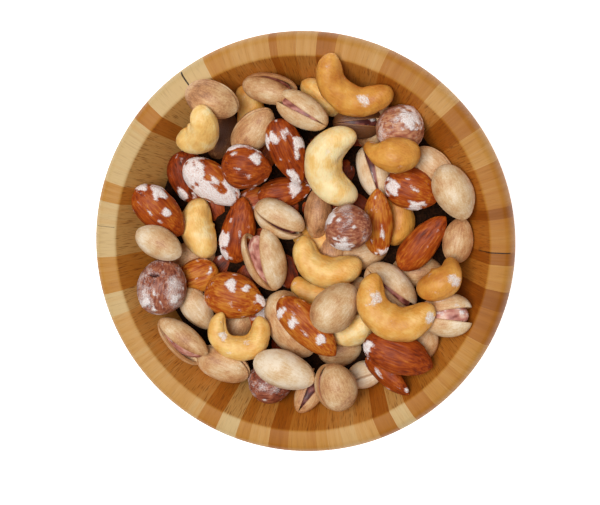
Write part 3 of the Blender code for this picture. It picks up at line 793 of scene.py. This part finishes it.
def ball_mesh(kind, deep):
    """A unit ball whose poles lie on X."""
    sides, rings = BALLS[kind][deep]
    mesh = bmesh.new()
    bmesh.ops.create_uvsphere(mesh, u_segments=sides, v_segments=rings, radius=1.0)
    bmesh.ops.rotate(mesh, cent=(0, 0, 0), matrix=Matrix.Rotation(math.pi / 2, 3, "Y"),
                     verts=mesh.verts)
    return mesh


def read_points(mesh):
    """The places of a mesh's vertices."""
    return np.array([vert.co[:] for vert in mesh.verts])


def write_points(mesh, points):
    """Puts a mesh's vertices in new places."""
    for vert, point in zip(mesh.verts, points):
        vert.co = point
    mesh.normal_update()


def raised(mesh, heights):
    """Moves every vertex along its normal, by a height in mm."""
    normals = np.array([vert.normal[:] for vert in mesh.verts])
    write_points(mesh, read_points(mesh) + normals * heights[:, None])


def rough(points, scale, seed, octaves=1):
    """Noise from -1 to 1 over points in mm: scale is how many waves fit in a mm, for each axis."""
    waves = points * scale + seed * NOISE_GAP
    total = np.zeros(len(points))
    for octave in range(octaves):
        total += [noise.noise(Vector(wave)) * 0.5 ** octave for wave in waves * 2.0 ** octave]
    return total


def smooth_step(values, low, high):
    """0 below low, 1 above high and a soft rise between."""
    share = np.clip((values - low) / (high - low), 0.0, 1.0)
    return share * share * (3.0 - 2.0 * share)


def in_plan(points):
    """Plan places of points, seen from the eye above the bowl."""
    share = EYE[2] / (EYE[2] + BOWL_HEIGHT - points[:, 2])
    plan = np.array(EYE[:2]) + (points[:, :2] - EYE[:2]) * share[:, None]
    return plan - TABLE_CENTRE


def laid(points, lying):
    """Where points of a nut are once it lies in the bowl."""
    matrix, place = lying
    return points @ matrix.T + np.array(place)


def rolled_on(nut, lying):
    """How the nut lies once it is twisted about its own length and lifted."""
    matrix, place = lying
    eye = Vector((EYE[0], EYE[1], BOWL_HEIGHT + EYE[2]))
    place = Vector(place) + (eye - Vector(place)).normalized() * nut.lift
    return matrix @ np.array(Matrix.Rotation(math.radians(nut.twist), 3, "X")), tuple(place)


def caked_salt(nut, points, lying, seed, dusting, fineness=1.0):
    """How thickly salt lies on points of a nut, from 0 to 1, with ragged edges."""
    plan = in_plan(laid(points, lying))
    amount = np.full(len(points), dusting + nut.dusting)
    for x, y, radius in nut.salt:
        away = np.hypot(plan[:, 0] - x, plan[:, 1] - y) / radius
        amount = np.maximum(amount, CAKE_TOP - CAKE_FALL * away)
    ragged = rough(points, np.array([0.28, 0.5, 0.5]) * fineness, seed + 0.3) * 0.75
    ragged += rough(points, np.array([0.5, 1.5, 1.5]) * fineness, seed + 0.6) * 0.28
    return smooth_step(amount + ragged, SALT_FROM, SALT_FULL)


class Heap:
    """All the nuts of one kind, gathered into one mesh."""

    def __init__(self):
        self.mesh = bmesh.new()
        self.local = []
        self.tint_and_shade = []
        self.salt = []
        self.mark = []

    def take(self, mesh, lying, seed, tint_and_shade, salt, mark):
        """Adds a nut, shaped in mm, at the place where it lies."""
        points = read_points(mesh)
        self.local.append(points + seed * NOISE_GAP)
        self.tint_and_shade.append(np.full(len(points), tint_and_shade))
        self.salt.append(salt)
        self.mark.append(mark)
        write_points(mesh, laid(points, lying) * MM)
        data = bpy.data.meshes.new("one_nut")
        mesh.to_mesh(data)
        mesh.free()
        self.mesh.from_mesh(data)
        bpy.data.meshes.remove(data)

    def made(self, name, materials):
        """The finished piece."""
        data = bpy.data.meshes.new(name)
        self.mesh.to_mesh(data)
        self.mesh.free()
        data.shade_smooth()
        for label, values in (("tint_and_shade", self.tint_and_shade), ("salt", self.salt), ("mark", self.mark)):
            kept = data.attributes.new(label, "FLOAT", "POINT")
            kept.data.foreach_set("value", np.concatenate(values))
        kept = data.attributes.new("local", "FLOAT_VECTOR", "POINT")
        kept.data.foreach_set("vector", np.concatenate(self.local).ravel())
        return finished(name, data, materials, "mixed_nuts")


def gathered(chosen, shaped):
    """A heap of the chosen nuts: shaped gives a nut's meshes with their salt, tint and mark."""
    heap = Heap()
    for seed, (nut, lying) in enumerate(everything):
        if chosen(nut):
            for mesh, salt, tint_and_shade, mark in shaped(nut, lying, seed):
                heap.take(mesh, lying, seed, tint_and_shade, salt, mark)
    return heap


everything = [(nut, rolled_on(nut, lying)) for nut, lying in zip(NUTS + fill, seats + fill_seats)]
print("there are", len(everything), "nuts to shape")

# %% [markdown]
# Salt cakes on roasted nuts in white crusts with a faint warm tinge, because oil and nut dust
# stick in it. Its layer is the same on every kind: where a vertex holds salt, the skin's colour
# gives way to white, the sheen goes, and grains a few tenths of a millimetre wide stand up. One
# function does this for every skin, so the salt looks like one batch on all four kinds.

# %% Salt over a skin
SALT_GRAINS = 2.2           # how many fit in a mm
SALT_RISE = 0.0004          # metres: how far the grains stand up


def salted(tree, shader, skin, height):
    """Lays salt over a skin's colour and its fine height, and gives the shader the result."""
    local = layer(tree, "local", "Vector")
    salt = layer(tree, "salt")
    grains = waves(tree, local, SALT_GRAINS, 2.0)
    # the grains break up the edge of a crust and its thin places
    edge = times_plus(tree, grains, 0.7, salt)
    cover = add(tree, "MapRange", {"Value": edge, "From Min": 0.48, "From Max": 1.1}).outputs[0]
    white = add(tree, "ValToRGB", {"Fac": grains}, stops=[
        (0.3, "#E2C8BC"), (0.5, "#F6ECE8"), (0.7, "#FFFEFC")]).outputs["Color"]
    cover = times(tree, cover, 0.9)
    mixed = blended(tree, cover, skin, white)
    dull = add(tree, "MapRange", {"Value": cover, "To Min": 0.46, "To Max": 0.8}).outputs[0]
    stands = times(tree, grains, cover)
    stands = times_plus(tree, stands, 1.2, height)
    bump = add(tree, "Bump", {"Height": stands, "Strength": 0.7, "Distance": SALT_RISE}).outputs[0]
    tree.links.new(mixed, shader.inputs["Base Color"])
    tree.links.new(dull, shader.inputs["Roughness"])
    tree.links.new(bump, shader.inputs["Normal"])


print("salt grains are drawn", round(1 / SALT_GRAINS, 2), "mm wide")

# %% [markdown]
# An almond's brown skin is dry and papery. Veins run along it from the blunt end to the tip,
# and the skin wrinkles between them as the nut dries, so ridges catch the light in long lines.
# Noise that is stretched along the nut gives such ridges: many waves round it, few along it.

# %% Almonds
ALMOND_LUMPS, ALMOND_VEINS, ALMOND_WRINKLES = 0.45, 0.16, 0.09      # how high each stands, in mm
ALMOND_DUST = 0.12          # how much salt lies all over an almond


def almond_mesh(nut, seed):
    """An almond with its veins and wrinkles, in mm."""
    mesh = ball_mesh(nut.kind, nut.deep)
    ball = read_points(mesh)
    form = moulded(nut, ball)
    write_points(mesh, form)
    lumps = rough(form, 0.11, seed) * ALMOND_LUMPS
    veins = rough(form, np.array([0.10, 0.62, 0.62]), seed + 0.2)
    wrinkles = rough(form, np.array([0.34, 1.5, 1.5]), seed + 0.5)
    ridges = 1.0 - np.abs(veins) * 2.2
    ends = 1.0 - np.abs(ball[:, 0]) ** 6        # veins fade out at both ends
    raised(mesh, lumps + (ridges * ALMOND_VEINS + wrinkles * ALMOND_WRINKLES) * ends)
    # the mark is the relief, along which highlight and shade are painted
    return mesh, form, np.clip(ridges * 0.6 + wrinkles * 0.6 + 0.4, 0.0, 1.0)


def salted_almond(nut, lying, seed):
    """An almond under its salt. The crust is thick, so it is raised too."""
    mesh, form, mark = almond_mesh(nut, seed)
    salt = caked_salt(nut, form, lying, seed, ALMOND_DUST)
    raised(mesh, salt * (0.25 + 0.1 * rough(form, 1.4, seed)))
    yield mesh, salt, nut.tint_and_shade, mark


almonds = gathered(lambda nut: nut.kind == "almond", salted_almond)
print("the almonds have", len(almonds.mesh.verts), "vertices")

# %% [markdown]
# The skin's colour follows the same relief: the ridges are painted lighter, as highlights, and the
# furrows darker, as shade. Roasting leaves it nearly dry, so its sheen is weak. Finer veins than the
# mesh can carry are noise, in the same direction as the ridges.

# %% Almond skin
def almond_skin():
    """Roasted almond skin: dry, ribbed, cinnamon brown, with a weak oily sheen and salt."""
    made, tree, shader = new_material("roasted_almond_skin")
    local = layer(tree, "local", "Vector")
    relief = layer(tree, "mark")
    tint_and_shade = layer(tree, "tint_and_shade")
    # dry veins 0.5 mm wide and some 5 mm long
    veins = waves(tree, local, (0.2, 2.0, 2.0), 3.0)
    blotch = waves(tree, local, 0.25, 2.0)
    tone = times_plus(tree, veins, 0.8, 0.1)
    # painted highlight on the ridges and painted shade in the furrows
    tone = times_plus(tree, relief, 0.25, tone)
    tone = times_plus(tree, blotch, 0.6, tone)
    tone = times_plus(tree, tint_and_shade, -0.5, tone)
    skin = add(tree, "ValToRGB", {"Fac": tone}, stops=[
        (0.2, "#461706"), (0.5, "#87330C"), (0.75, "#A94C12"), (1.0, "#C87C2A")]).outputs["Color"]
    salted(tree, shader, skin, times(tree, veins, 0.8))
    shader.inputs["IOR"].default_value = 1.47
    shader.inputs["Specular IOR Level"].default_value = 0.2
    return made


almonds.made("almonds", [almond_skin()])

# %% [markdown]
# A cashew has no skin left when it is sold: what shows is the smooth, pale kernel, roasted to
# gold where it stood out. Along its inner bend runs a crease, and a faint line along its back
# shows where its two halves meet. Both are narrow dents in the mesh, drawn by how far each point
# is from the middle of the inner bend or the back, so they follow the nut however it is bent.

# %% Cashews
CREASE_DEPTH, BACK_DEPTH, NOTCH_DEPTH = 0.6, 0.15, 0.9      # mm
CASHEW_SALT = 0.62          # how much of the salt stays on so smooth a nut


def cashew_mesh(nut, seed):
    """A cashew with its crease, its back line and soft lumps, in mm."""
    mesh = ball_mesh(nut.kind, nut.deep)
    ball = read_points(mesh)
    seen = replace(nut, width=nut.width * nut.slim, bend=nut.bend + nut.hook)
    form = moulded(seen, ball)
    side = np.arctan2(ball[:, 1], ball[:, 2])
    if nut.tail:
        # one lobe is drawn in towards a thin nut of the same bend
        thin = 1.0 - abs(nut.tail) * smooth_step(-ball[:, 0] * np.sign(nut.tail), -0.2, 0.7)
        spine = moulded(replace(seen, width=0.01 * seen.width, length=seen.length * 0.6), ball)
        form = spine * (1.0 - thin)[:, None] + form * thin[:, None]
    write_points(mesh, form)
    body = 1.0 - np.abs(ball[:, 0]) ** 8        # the relief fades out at both ends
    inner = np.exp(-((side + math.pi / 2) / 0.22) ** 2)
    outer = np.exp(-((side - math.pi / 2) / 0.07) ** 2)
    lumps = rough(form, 0.13, seed) * 0.6 + rough(form, 0.32, seed + 0.4) * 0.2
    notch = np.exp(-(ball[:, 0] / 0.3) ** 2 - ((side + math.pi / 2) / 0.9) ** 2)
    streaks = rough(form, np.array([0.5, 1.1, 1.1]), seed + 0.7) * 0.06
    dents = inner * CREASE_DEPTH + outer * BACK_DEPTH
    raised(mesh, (lumps + streaks - dents) * body - notch * NOTCH_DEPTH)
    # the mark is the dents of the crease and back line, where shade is painted
    return mesh, form, np.clip(inner + outer * 0.6, 0.0, 1.0)


def salted_cashew(nut, lying, seed):
    """A cashew under its salt."""
    mesh, form, mark = cashew_mesh(nut, seed)
    salt = caked_salt(nut, form, lying, seed, 0.0) * CASHEW_SALT
    raised(mesh, salt * 0.2)
    yield mesh, salt, nut.tint_and_shade, mark


cashews = gathered(lambda nut: nut.kind == "cashew", salted_cashew)
print("the cashews have", len(cashews.mesh.verts), "vertices")

# %% [markdown]
# The flesh of a cashew is waxy: some light enters it and comes out a millimetre on, which takes
# the hardness off its shadows. So its material has a little subsurface scattering, and no nut
# with a skin needs that. Its gold is blotchy, and the crease and the line on its back are painted
# darker, as shade in those dents.

# %% Cashew kernel
def cashew_kernel():
    """Roasted cashew kernel: smooth, waxy, cream to gold, light glows a little into it."""
    made, tree, shader = new_material("roasted_cashew_kernel")
    local = layer(tree, "local", "Vector")
    crease = layer(tree, "mark")
    tint_and_shade = layer(tree, "tint_and_shade")
    blotch = waves(tree, local, 0.22, 4.0)
    blotch = add(tree, "MapRange", {"Value": blotch, "From Min": 0.3, "From Max": 0.7}).outputs[0]
    pores = waves(tree, local, (0.7, 1.8, 1.8), 4.0)
    tone = times_plus(tree, blotch, 0.5, tint_and_shade)
    tone = times_plus(tree, pores, 0.4, tone)
    tone = add(tree, "Math", {0: tone, 1: -0.1}).outputs[0]
    # painted shade in the crease and on the back line
    tone = times_plus(tree, crease, 0.25, tone)
    tone = times(tree, tone, 0.65)
    skin = add(tree, "ValToRGB", {"Fac": tone}, stops=[
        (0.16, "#FBE3AC"), (0.36, "#F2C676"), (0.62, "#E09E42"), (0.9, "#C47628")]).outputs["Color"]
    salted(tree, shader, skin, times(tree, pores, 0.9))
    shader.inputs["Subsurface Weight"].default_value = 0.12
    shader.inputs["Subsurface Radius"].default_value = (1.0, 0.6, 0.3)
    shader.inputs["Subsurface Scale"].default_value = 0.0015
    shader.inputs["IOR"].default_value = 1.47
    return made


cashews.made("cashews", [cashew_kernel()])

# %% [markdown]
# A pistachio's shell is a hard, smooth stone in two halves. A closed one shows their joint as a
# fine groove between two low lips. In a ripe one the halves stand apart at one end, like a
# mouth, and the kernel looks out.
#
# A closed shell is one ball with a groove. An open one is cut in two: a plane through the axis
# bisects the ball, each half gets its own thickness with solidify, and the cut rim is bevelled,
# because a real shell's lips are round. The halves are then moved apart, most at the open end.

# %% Pistachio shells
SHELL_THICK = 0.95
SEAM_SHIFT = 0.42           # crowds the sides of the ball towards the joint, where it needs them
GROOVE_DEPTH, GROOVE_HALF_WIDTH = 0.45, 0.28
LIP_HEIGHT, LIP_AWAY, LIP_HALF_WIDTH = 0.2, 0.8, 0.5    # of a closed shell, beside its groove
LIP_ROUND = 0.26            # how far an open shell's cut rim is bevelled
RIM_ANGLE = 1.0             # radians: only the cut rim has so sharp an edge
SHELL_DUST = -0.25          # salt hardly sticks to a shell


def closed_shell(nut, seed):
    """A closed pistachio with its groove, in mm."""
    flat, tip, blunt = KINDS[nut.kind]
    mesh = ball_mesh(nut.kind, nut.deep)
    ball = read_points(mesh)
    along = ball[:, 0]
    side = np.arctan2(ball[:, 1], ball[:, 2])
    side = side - SEAM_SHIFT * np.sin(2.0 * side)
    turned = side + math.radians(nut.seam)
    full = girth(along, tip, blunt) * nut.width / 2
    form = np.column_stack((along * nut.length / 2, full * np.sin(turned),
                            full * np.cos(turned) * flat)) * FULLNESS
    write_points(mesh, form)
    away = np.abs(full * np.sin(side))
    groove = np.exp(-(away / GROOVE_HALF_WIDTH) ** 2)
    lips = np.exp(-((away - LIP_AWAY) / LIP_HALF_WIDTH) ** 2)
    lumps = rough(form, 0.12, seed) * 0.5
    raised(mesh, lumps + lips * LIP_HEIGHT - groove * GROOVE_DEPTH)
    return mesh, form, groove


def half_shell(nut, hand, seed):
    """One half of an open pistachio's shell: hand is 1 on the +Y side and -1 on the other."""
    flat, tip, blunt = KINDS[nut.kind]
    mesh = ball_mesh(nut.kind, nut.deep)
    mark = mesh.verts.layers.float.new("mark")
    cut = bmesh.ops.bisect_plane(mesh, geom=mesh.verts[:] + mesh.edges[:] + mesh.faces[:],
                                 plane_co=(0, 0, 0), plane_no=(0, hand, 0), clear_inner=True,
                                 dist=1e-4)
    for item in cut["geom_cut"]:
        if isinstance(item, bmesh.types.BMVert):
            item[mark] = 1.0
    ball = read_points(mesh)
    along = ball[:, 0]
    side = np.arctan2(np.abs(ball[:, 1]), ball[:, 2])
    full = girth(along, tip, blunt) * (nut.width - (nut.mouth + nut.gape) / 2) / 2
    opened = (nut.mouth + nut.gape) / 4 * (1.0 + along)
    form = np.column_stack((along * nut.length / 2, hand * (full * np.sin(side) + opened),
                            full * np.cos(side) * flat)) * FULLNESS
    write_points(mesh, form)
    raised(mesh, rough(form, 0.12, seed) * 0.45 * np.sin(side))
    bmesh.ops.solidify(mesh, geom=mesh.faces[:], thickness=SHELL_THICK)
    rim = [edge for edge in mesh.edges
           if edge.is_manifold and edge.calc_face_angle(0.0) > RIM_ANGLE]
    bmesh.ops.bevel(mesh, geom=rim, offset=LIP_ROUND, offset_type="OFFSET", affect="EDGES",
                    segments=2, profile=0.5, material=-1, clamp_overlap=True)
    mesh.normal_update()
    form = read_points(mesh)
    marks = np.array([vert[mark] for vert in mesh.verts])
    mesh.verts.layers.float.remove(mark)
    return mesh, form, marks


def salted_shell(nut, lying, seed):
    """A pistachio's shell, whole or in its two halves."""
    if nut.mouth:
        parts = [half_shell(nut, hand, seed) for hand in (1, -1)]
    else:
        parts = [closed_shell(nut, seed)]
    for mesh, form, mark in parts:
        yield mesh, caked_salt(nut, form, lying, seed, SHELL_DUST), nut.tint_and_shade, mark


shells = gathered(lambda nut: nut.kind == "pistachio", salted_shell)
print("the shells have", len(shells.mesh.verts), "vertices")

# %% [markdown]
# The shell is as hard and dense as a fruit stone, so nothing shines through it. Its cream turns
# tan where the wet husk lay on it, in soft clouds and in faint streaks from end to end, and the
# lips are brown. The five stops of its ramp are close together, because two shells beside each
# other differ more than the clouds on one of them.

# %% Pistachio shell
def pistachio_shell():
    """Pistachio shell: a hard cream stone, smooth, faintly streaked, tan where it was wet."""
    made, tree, shader = new_material("pistachio_shell")
    local = layer(tree, "local", "Vector")
    lip = layer(tree, "mark")
    tint_and_shade = layer(tree, "tint_and_shade")
    blotch = waves(tree, local, 0.16, 3.0)
    streaks = waves(tree, local, (0.3, 1.6, 1.6), 3.0)
    tone = times_plus(tree, tint_and_shade, 0.5, blotch)
    speckle = waves(tree, local, 2.4, 2.0)
    tone = times_plus(tree, streaks, 0.45, tone)
    tone = times_plus(tree, speckle, 0.35, tone)
    tone = times_plus(tree, tone, 0.75, -0.18)
    shell = add(tree, "ValToRGB", {"Fac": tone}, stops=[
        (0.375, "#F0DCC0"), (0.54, "#DFBE92"), (0.675, "#CFA06E"), (0.78, "#BA8254"),
        (1.0, "#6E4222")]).outputs["Color"]
    # the joint and the lips are brown, where the halves meet
    stained = times(tree, lip, 0.7)
    shell = blended(tree, stained, shell, colour("#A8703C"))
    salted(tree, shader, shell, times(tree, speckle, 0.6))
    shader.inputs["IOR"].default_value = 1.5
    return made


shells.made("pistachio_shells", [pistachio_shell()])

# %% [markdown]
# The kernel nearly fills its shell. It is a ball of the shell's own form, made smaller than the
# hollow and a little taller, so that it looks out between the lips. Its thin skin is wrinkled.

# %% Pistachio kernels
KERNEL_SHARE = 0.82         # of the kernel's length to the shell's
KERNEL_TAPER = (0.62, 0.5)
KERNEL_ROOM = 0.15          # free space between the kernel and its shell
KERNEL_TALL = 1.1
KERNEL_DUST = 0.05


def kernel_mesh(nut, seed):
    """The kernel inside an open shell, in mm."""
    flat = KINDS[nut.kind][0]
    mesh = ball_mesh("kernel", nut.deep)
    ball = read_points(mesh)
    along = ball[:, 0]
    side = np.arctan2(ball[:, 1], ball[:, 2])
    mouth = nut.mouth + nut.gape
    radius = (nut.width - mouth / 2) / 2 - SHELL_THICK - KERNEL_ROOM
    full = girth(along, *KERNEL_TAPER) * radius
    form = np.column_stack((along * nut.length / 2 * KERNEL_SHARE + mouth * 0.05,
                            full * np.sin(side) * (1.0 + 0.06 * mouth),
                            full * np.cos(side) * flat * KERNEL_TALL)) * FULLNESS
    write_points(mesh, form)
    lumps = rough(form, 0.16, seed + 0.1) * 0.5
    wrinkles = rough(form, np.array([0.4, 1.1, 1.1]), seed + 0.6)
    raised(mesh, lumps + (1.0 - np.abs(wrinkles) * 2.0) * 0.14)
    return mesh, form, np.clip(0.5 + wrinkles, 0.0, 1.0)


def salted_kernel(nut, lying, seed):
    """The kernel of an open shell under its salt."""
    mesh, form, mark = kernel_mesh(nut, seed)
    yield mesh, caked_salt(nut, form, lying, seed, KERNEL_DUST), nut.kernel, mark


kernels = gathered(lambda nut: nut.mouth, salted_kernel)
print("the kernels have", len(kernels.mesh.verts), "vertices")

# %% [markdown]
# The skin of a roasted kernel is dull red-brown in its folds and pink on its ridges, so the
# colour follows the wrinkles of the mesh. Each kernel has its own tint, since a wide mouth lets
# light in on a pale one, while those behind a narrow slit look nearly black.

# %% Pistachio kernel skin
def kernel_skin():
    """Pistachio kernel in its skin: matt, red-brown in its folds and pink on its ridges."""
    made, tree, shader = new_material("pistachio_kernel_skin")
    local = layer(tree, "local", "Vector")
    relief = layer(tree, "mark")
    tint_and_shade = layer(tree, "tint_and_shade")
    blotch = waves(tree, local, 0.3, 3.0)
    tone = times_plus(tree, relief, 0.35, blotch)
    tone = times_plus(tree, tint_and_shade, -0.6, tone)
    skin = add(tree, "ValToRGB", {"Fac": tone}, stops=[
        (0.0, "#481A18"), (0.3, "#8A483C"), (0.6, "#CA8878"), (0.85, "#E4BEA8")]).outputs["Color"]
    salted(tree, shader, skin, times(tree, blotch, 0.4))
    shader.inputs["IOR"].default_value = 1.45
    return made


kernels.made("pistachio_kernels", [kernel_skin()])

# %% [markdown]
# A hazelnut is a near ball with a skin like thin paper. Its veins run from its base to its
# point, and the skin flakes between them. Salt clings to that paper as a thin film, besides its
# cakes, and where the film has broken there are pits, sunk and painted near black as shade.

# %% Hazelnuts
HAZEL_LUMPS, HAZEL_VEINS, HAZEL_FLAKES = 0.7, 0.14, 0.1     # how high each stands, in mm
PIT_DEPTH = 0.9


def hazelnut_mesh(nut, seed):
    """A hazelnut with its veins, in mm."""
    mesh = ball_mesh(nut.kind, nut.deep)
    ball = read_points(mesh)
    form = moulded(replace(nut, length=nut.length * nut.slim, width=nut.width * nut.slim), ball)
    write_points(mesh, form)
    lumps = rough(form, 0.13, seed) * HAZEL_LUMPS
    veins = rough(form, np.array([0.09, 0.5, 0.5]), seed + 0.2)
    flakes = rough(form, np.array([0.5, 1.2, 1.2]), seed + 0.5)
    ridges = 1.0 - np.abs(veins) * 2.2
    raised(mesh, lumps + ridges * HAZEL_VEINS + flakes * HAZEL_FLAKES)
    # the mark is the relief, along which highlight and shade are painted
    return mesh, form, np.clip(0.5 + flakes * 0.6 + ridges * 0.3, 0.0, 1.0)


def salted_hazelnut(nut, lying, seed):
    """A hazelnut under its salt, with its pits."""
    mesh, form, mark = hazelnut_mesh(nut, seed)
    salt = caked_salt(nut, form, lying, seed, 0.05, fineness=1.3)
    film = 0.08 + nut.dusting + 0.5 * rough(form, 0.22, seed + 0.8, octaves=3)
    salt = np.clip(np.maximum(salt, film), 0.0, 1.0)
    plan = in_plan(laid(form, lying))
    for x, y, length in nut.pits:
        away = np.hypot((plan[:, 0] - x) / length, (plan[:, 1] - y) / length * 3.0)
        hole = 1.0 - smooth_step(away + rough(form, 1.0, seed) * 0.3, 0.35, 0.6)
        raised(mesh, -PIT_DEPTH * hole)
        # the pits are painted near black, as shade in the holes
        mark = mark - 1.6 * hole
        salt = salt * (1.0 - hole)
    raised(mesh, salt * 0.2)
    yield mesh, salt, nut.tint_and_shade, mark


hazelnuts = gathered(lambda nut: nut.kind == "hazelnut", salted_hazelnut)
print("the hazelnuts have", len(hazelnuts.mesh.verts), "vertices")

# %% [markdown]
# The skin is the darkest of all four kinds, red-brown with almost black veins. It is painted lighter
# where its ridges and flakes stand up, as highlight, and darker where they sink, as shade. Its noise
# is stretched along the nut like the almond's, but less, because a hazelnut's veins are short and
# crooked.

# %% Hazelnut skin
def hazelnut_skin():
    """Hazelnut skin: red-brown paper, veined, dull, with painted highlight and shade along its
    relief.
    """
    made, tree, shader = new_material("roasted_hazelnut_skin")
    local = layer(tree, "local", "Vector")
    relief = layer(tree, "mark")
    tint_and_shade = layer(tree, "tint_and_shade")
    veins = waves(tree, local, (0.25, 1.6, 1.6), 3.0)
    blotch = waves(tree, local, 0.3, 2.0)
    # painted highlight where the relief stands up, painted shade in its pits and hollows
    tone = times_plus(tree, relief, 0.3, veins)
    tone = times_plus(tree, blotch, 0.4, tone)
    tone = times_plus(tree, tint_and_shade, -0.35, tone)
    skin = add(tree, "ValToRGB", {"Fac": tone}, stops=[
        (0.1, "#0E0604"), (0.3, "#48201A"), (0.55, "#82402C"), (0.8, "#A86448"),
        (1.0, "#C8906A")]).outputs["Color"]
    salted(tree, shader, skin, times(tree, veins, 0.7))
    shader.inputs["IOR"].default_value = 1.45
    return made


hazelnuts.made("hazelnuts", [hazelnut_skin()])

# %% [markdown]
# Below the deepest nuts the bowl is full of more nuts that nothing shows. One closed bed fills
# that space, painted near black as the shade in the gaps between nuts, with a fine grain.

# %% The bed under the nuts
BED_RINGS = 12
BED_SIDES = 96
BED_LUMPS = 0.8             # how high they stand
BED_LUMPS_REACH = 48.0      # from the axis: beyond it the bed keeps its gap to the wall


def bed_mesh():
    """The closed bed that fills the hollow up to the deepest nuts."""
    edge = inner_profile(HOLLOW_STEPS, GAP, CORE_EDGE_Z)
    radii = [edge[0][0] * step / BED_RINGS for step in range(BED_RINGS)]
    dome = [(radius, float(core_top(radius))) for radius in radii]
    mesh = bmesh.new()
    verts = [mesh.verts.new((radius * MM, 0.0, z * MM)) for radius, z in dome + edge]
    edges = [mesh.edges.new(pair) for pair in zip(verts, verts[1:])]
    bmesh.ops.spin(mesh, geom=verts + edges, cent=(0, 0, 0), axis=(0, 0, 1), angle=math.tau,
                   steps=BED_SIDES, use_merge=True)
    bmesh.ops.remove_doubles(mesh, verts=mesh.verts, dist=WELD * MM)
    bmesh.ops.recalc_face_normals(mesh, faces=mesh.faces)
    for vert in mesh.verts:
        if vert.co.z > CORE_EDGE_Z * MM and vert.co.xy.length < BED_LUMPS_REACH * MM:
            vert.co.z += noise.noise(vert.co / MM * 0.3) * BED_LUMPS * MM
    data = bpy.data.meshes.new("nut_bed")
    mesh.to_mesh(data)
    mesh.free()
    data.shade_smooth()
    data.set_sharp_from_angle(angle=SHARP)
    return data


def bed_painted_shade():
    """Painted shade for the bed: near-black brown, matt, finely grained."""
    made, tree, shader = new_material("nut_bed_painted_shade")
    place = add(tree, "TexCoord").outputs["Object"]
    # a grain 0.7 mm wide in the painted shade: Object coordinates are metres
    bed_grain = waves(tree, place, 1400.0, 3.0)
    bed_shade = add(tree, "ValToRGB", {"Fac": bed_grain}, stops=[
        (0.35, "#150A04"), (0.6, "#281407"), (0.75, "#3E2312")]).outputs["Color"]
    bump = add(tree, "Bump", {"Height": bed_grain, "Strength": 0.8, "Distance": 0.0006}).outputs[0]
    tree.links.new(bed_shade, shader.inputs["Base Color"])
    tree.links.new(bump, shader.inputs["Normal"])
    shader.inputs["Roughness"].default_value = 0.95
    shader.inputs["Specular IOR Level"].default_value = 0.1
    return made


finished("nut_bed", bed_mesh(), [bed_painted_shade()], "mixed_nuts")

# %% [markdown]
# The bowl stands on a white sweep under soft light. The floor glows a little, as a lit sweep
# does, so that it is near white all round and the bowl's shadow on it stays faint.

# %% Floor and light
FLOOR_HALF = 5.0            # metres, as are the places of the lamp and the camera
FLOOR_GLOW = 0.8
LAMP_PLACE = (-0.24, 0.16, 2.12)
LAMP_TARGET = (0.0, 0.0, 0.05)
LAMP_WIDTH = 1.0
LAMP_POWER = 43.5           # watts
ROOM_LIGHT = 0.14


def white_sweep():
    """White paper: matt, plain, with a glow that stands for the light on a studio sweep."""
    made, tree, shader = new_material("white_sweep_paper")
    place = add(tree, "TexCoord").outputs["Object"]
    grain = add(tree, "TexNoise", {"Vector": place, "Scale": 900.0}).outputs["Fac"]
    paper = add(tree, "ValToRGB", {"Fac": grain}, stops=[
        (0.3, "#F4F4F4"), (0.7, "#FAFAFA")]).outputs["Color"]
    tree.links.new(paper, shader.inputs["Base Color"])
    shader.inputs["Roughness"].default_value = 0.9
    shader.inputs["Emission Color"].default_value = (1.0, 1.0, 1.0, 1.0)
    shader.inputs["Emission Strength"].default_value = FLOOR_GLOW
    return made


floor_mesh = bmesh.new()
bmesh.ops.create_grid(floor_mesh, x_segments=8, y_segments=8, size=FLOOR_HALF)
floor_data = bpy.data.meshes.new("floor")
floor_mesh.to_mesh(floor_data)
floor_mesh.free()
floor_data.materials.append(white_sweep())
floor = bpy.data.objects.new("floor", floor_data)
bpy.context.scene.collection.objects.link(floor)


def aim(thing, eye, target):
    """Places a camera or light in metres, looking at a target, with +Y up in its view."""
    away = (Vector(eye) - Vector(target)).normalized()
    right = Vector((0, 1, 0)).cross(away).normalized()
    up = away.cross(right)
    turned = Matrix((right, up, away)).transposed().to_4x4()
    thing.matrix_world = Matrix.Translation(Vector(eye)) @ turned


def soft_light(name, eye, target, width, power):
    """A square lamp with a diffuser."""
    lamp = bpy.data.lights.new(name, "AREA")
    lamp.size = width
    lamp.energy = power
    thing = bpy.data.objects.new(name, lamp)
    bpy.context.scene.collection.objects.link(thing)
    aim(thing, eye, target)


soft_light("overhead_softbox", LAMP_PLACE, LAMP_TARGET, LAMP_WIDTH, LAMP_POWER)
world = bpy.data.worlds.new("white_studio")
world.use_nodes = True
backdrop = world.node_tree.nodes["Background"]
backdrop.inputs["Color"].default_value = colour("#FFFFFF")
backdrop.inputs["Strength"].default_value = ROOM_LIGHT
bpy.context.scene.world = world
bpy.context.scene.view_settings.view_transform = "Standard"
print("one lamp, a white room and a white floor")

# %% [markdown]
# The photo looks down on the bowl from 43 cm above its rim, leaning 10 degrees to the upper
# right. From so near, the rim's far side is smaller than its near side, so the distance matters
# as much as the angle.

# %% Camera
CAMERA_PLACE = (0.0580, 0.0470, 0.4815)
CAMERA_TARGET = (0.0003, -0.0020, 0.0580)
SENSOR_WIDTH = 36.0
LENS = 78.4
NEAREST = 0.01              # metres: nothing nearer than this is drawn

camera_data = bpy.data.cameras.new("camera")
camera_data.sensor_width = SENSOR_WIDTH
camera_data.lens = LENS
camera_data.clip_start = NEAREST
camera = bpy.data.objects.new("camera", camera_data)
bpy.context.scene.collection.objects.link(camera)
aim(camera, CAMERA_PLACE, CAMERA_TARGET)
bpy.context.scene.camera = camera
print("the camera is", round(camera.matrix_world.translation.length / MM), "mm from the base")
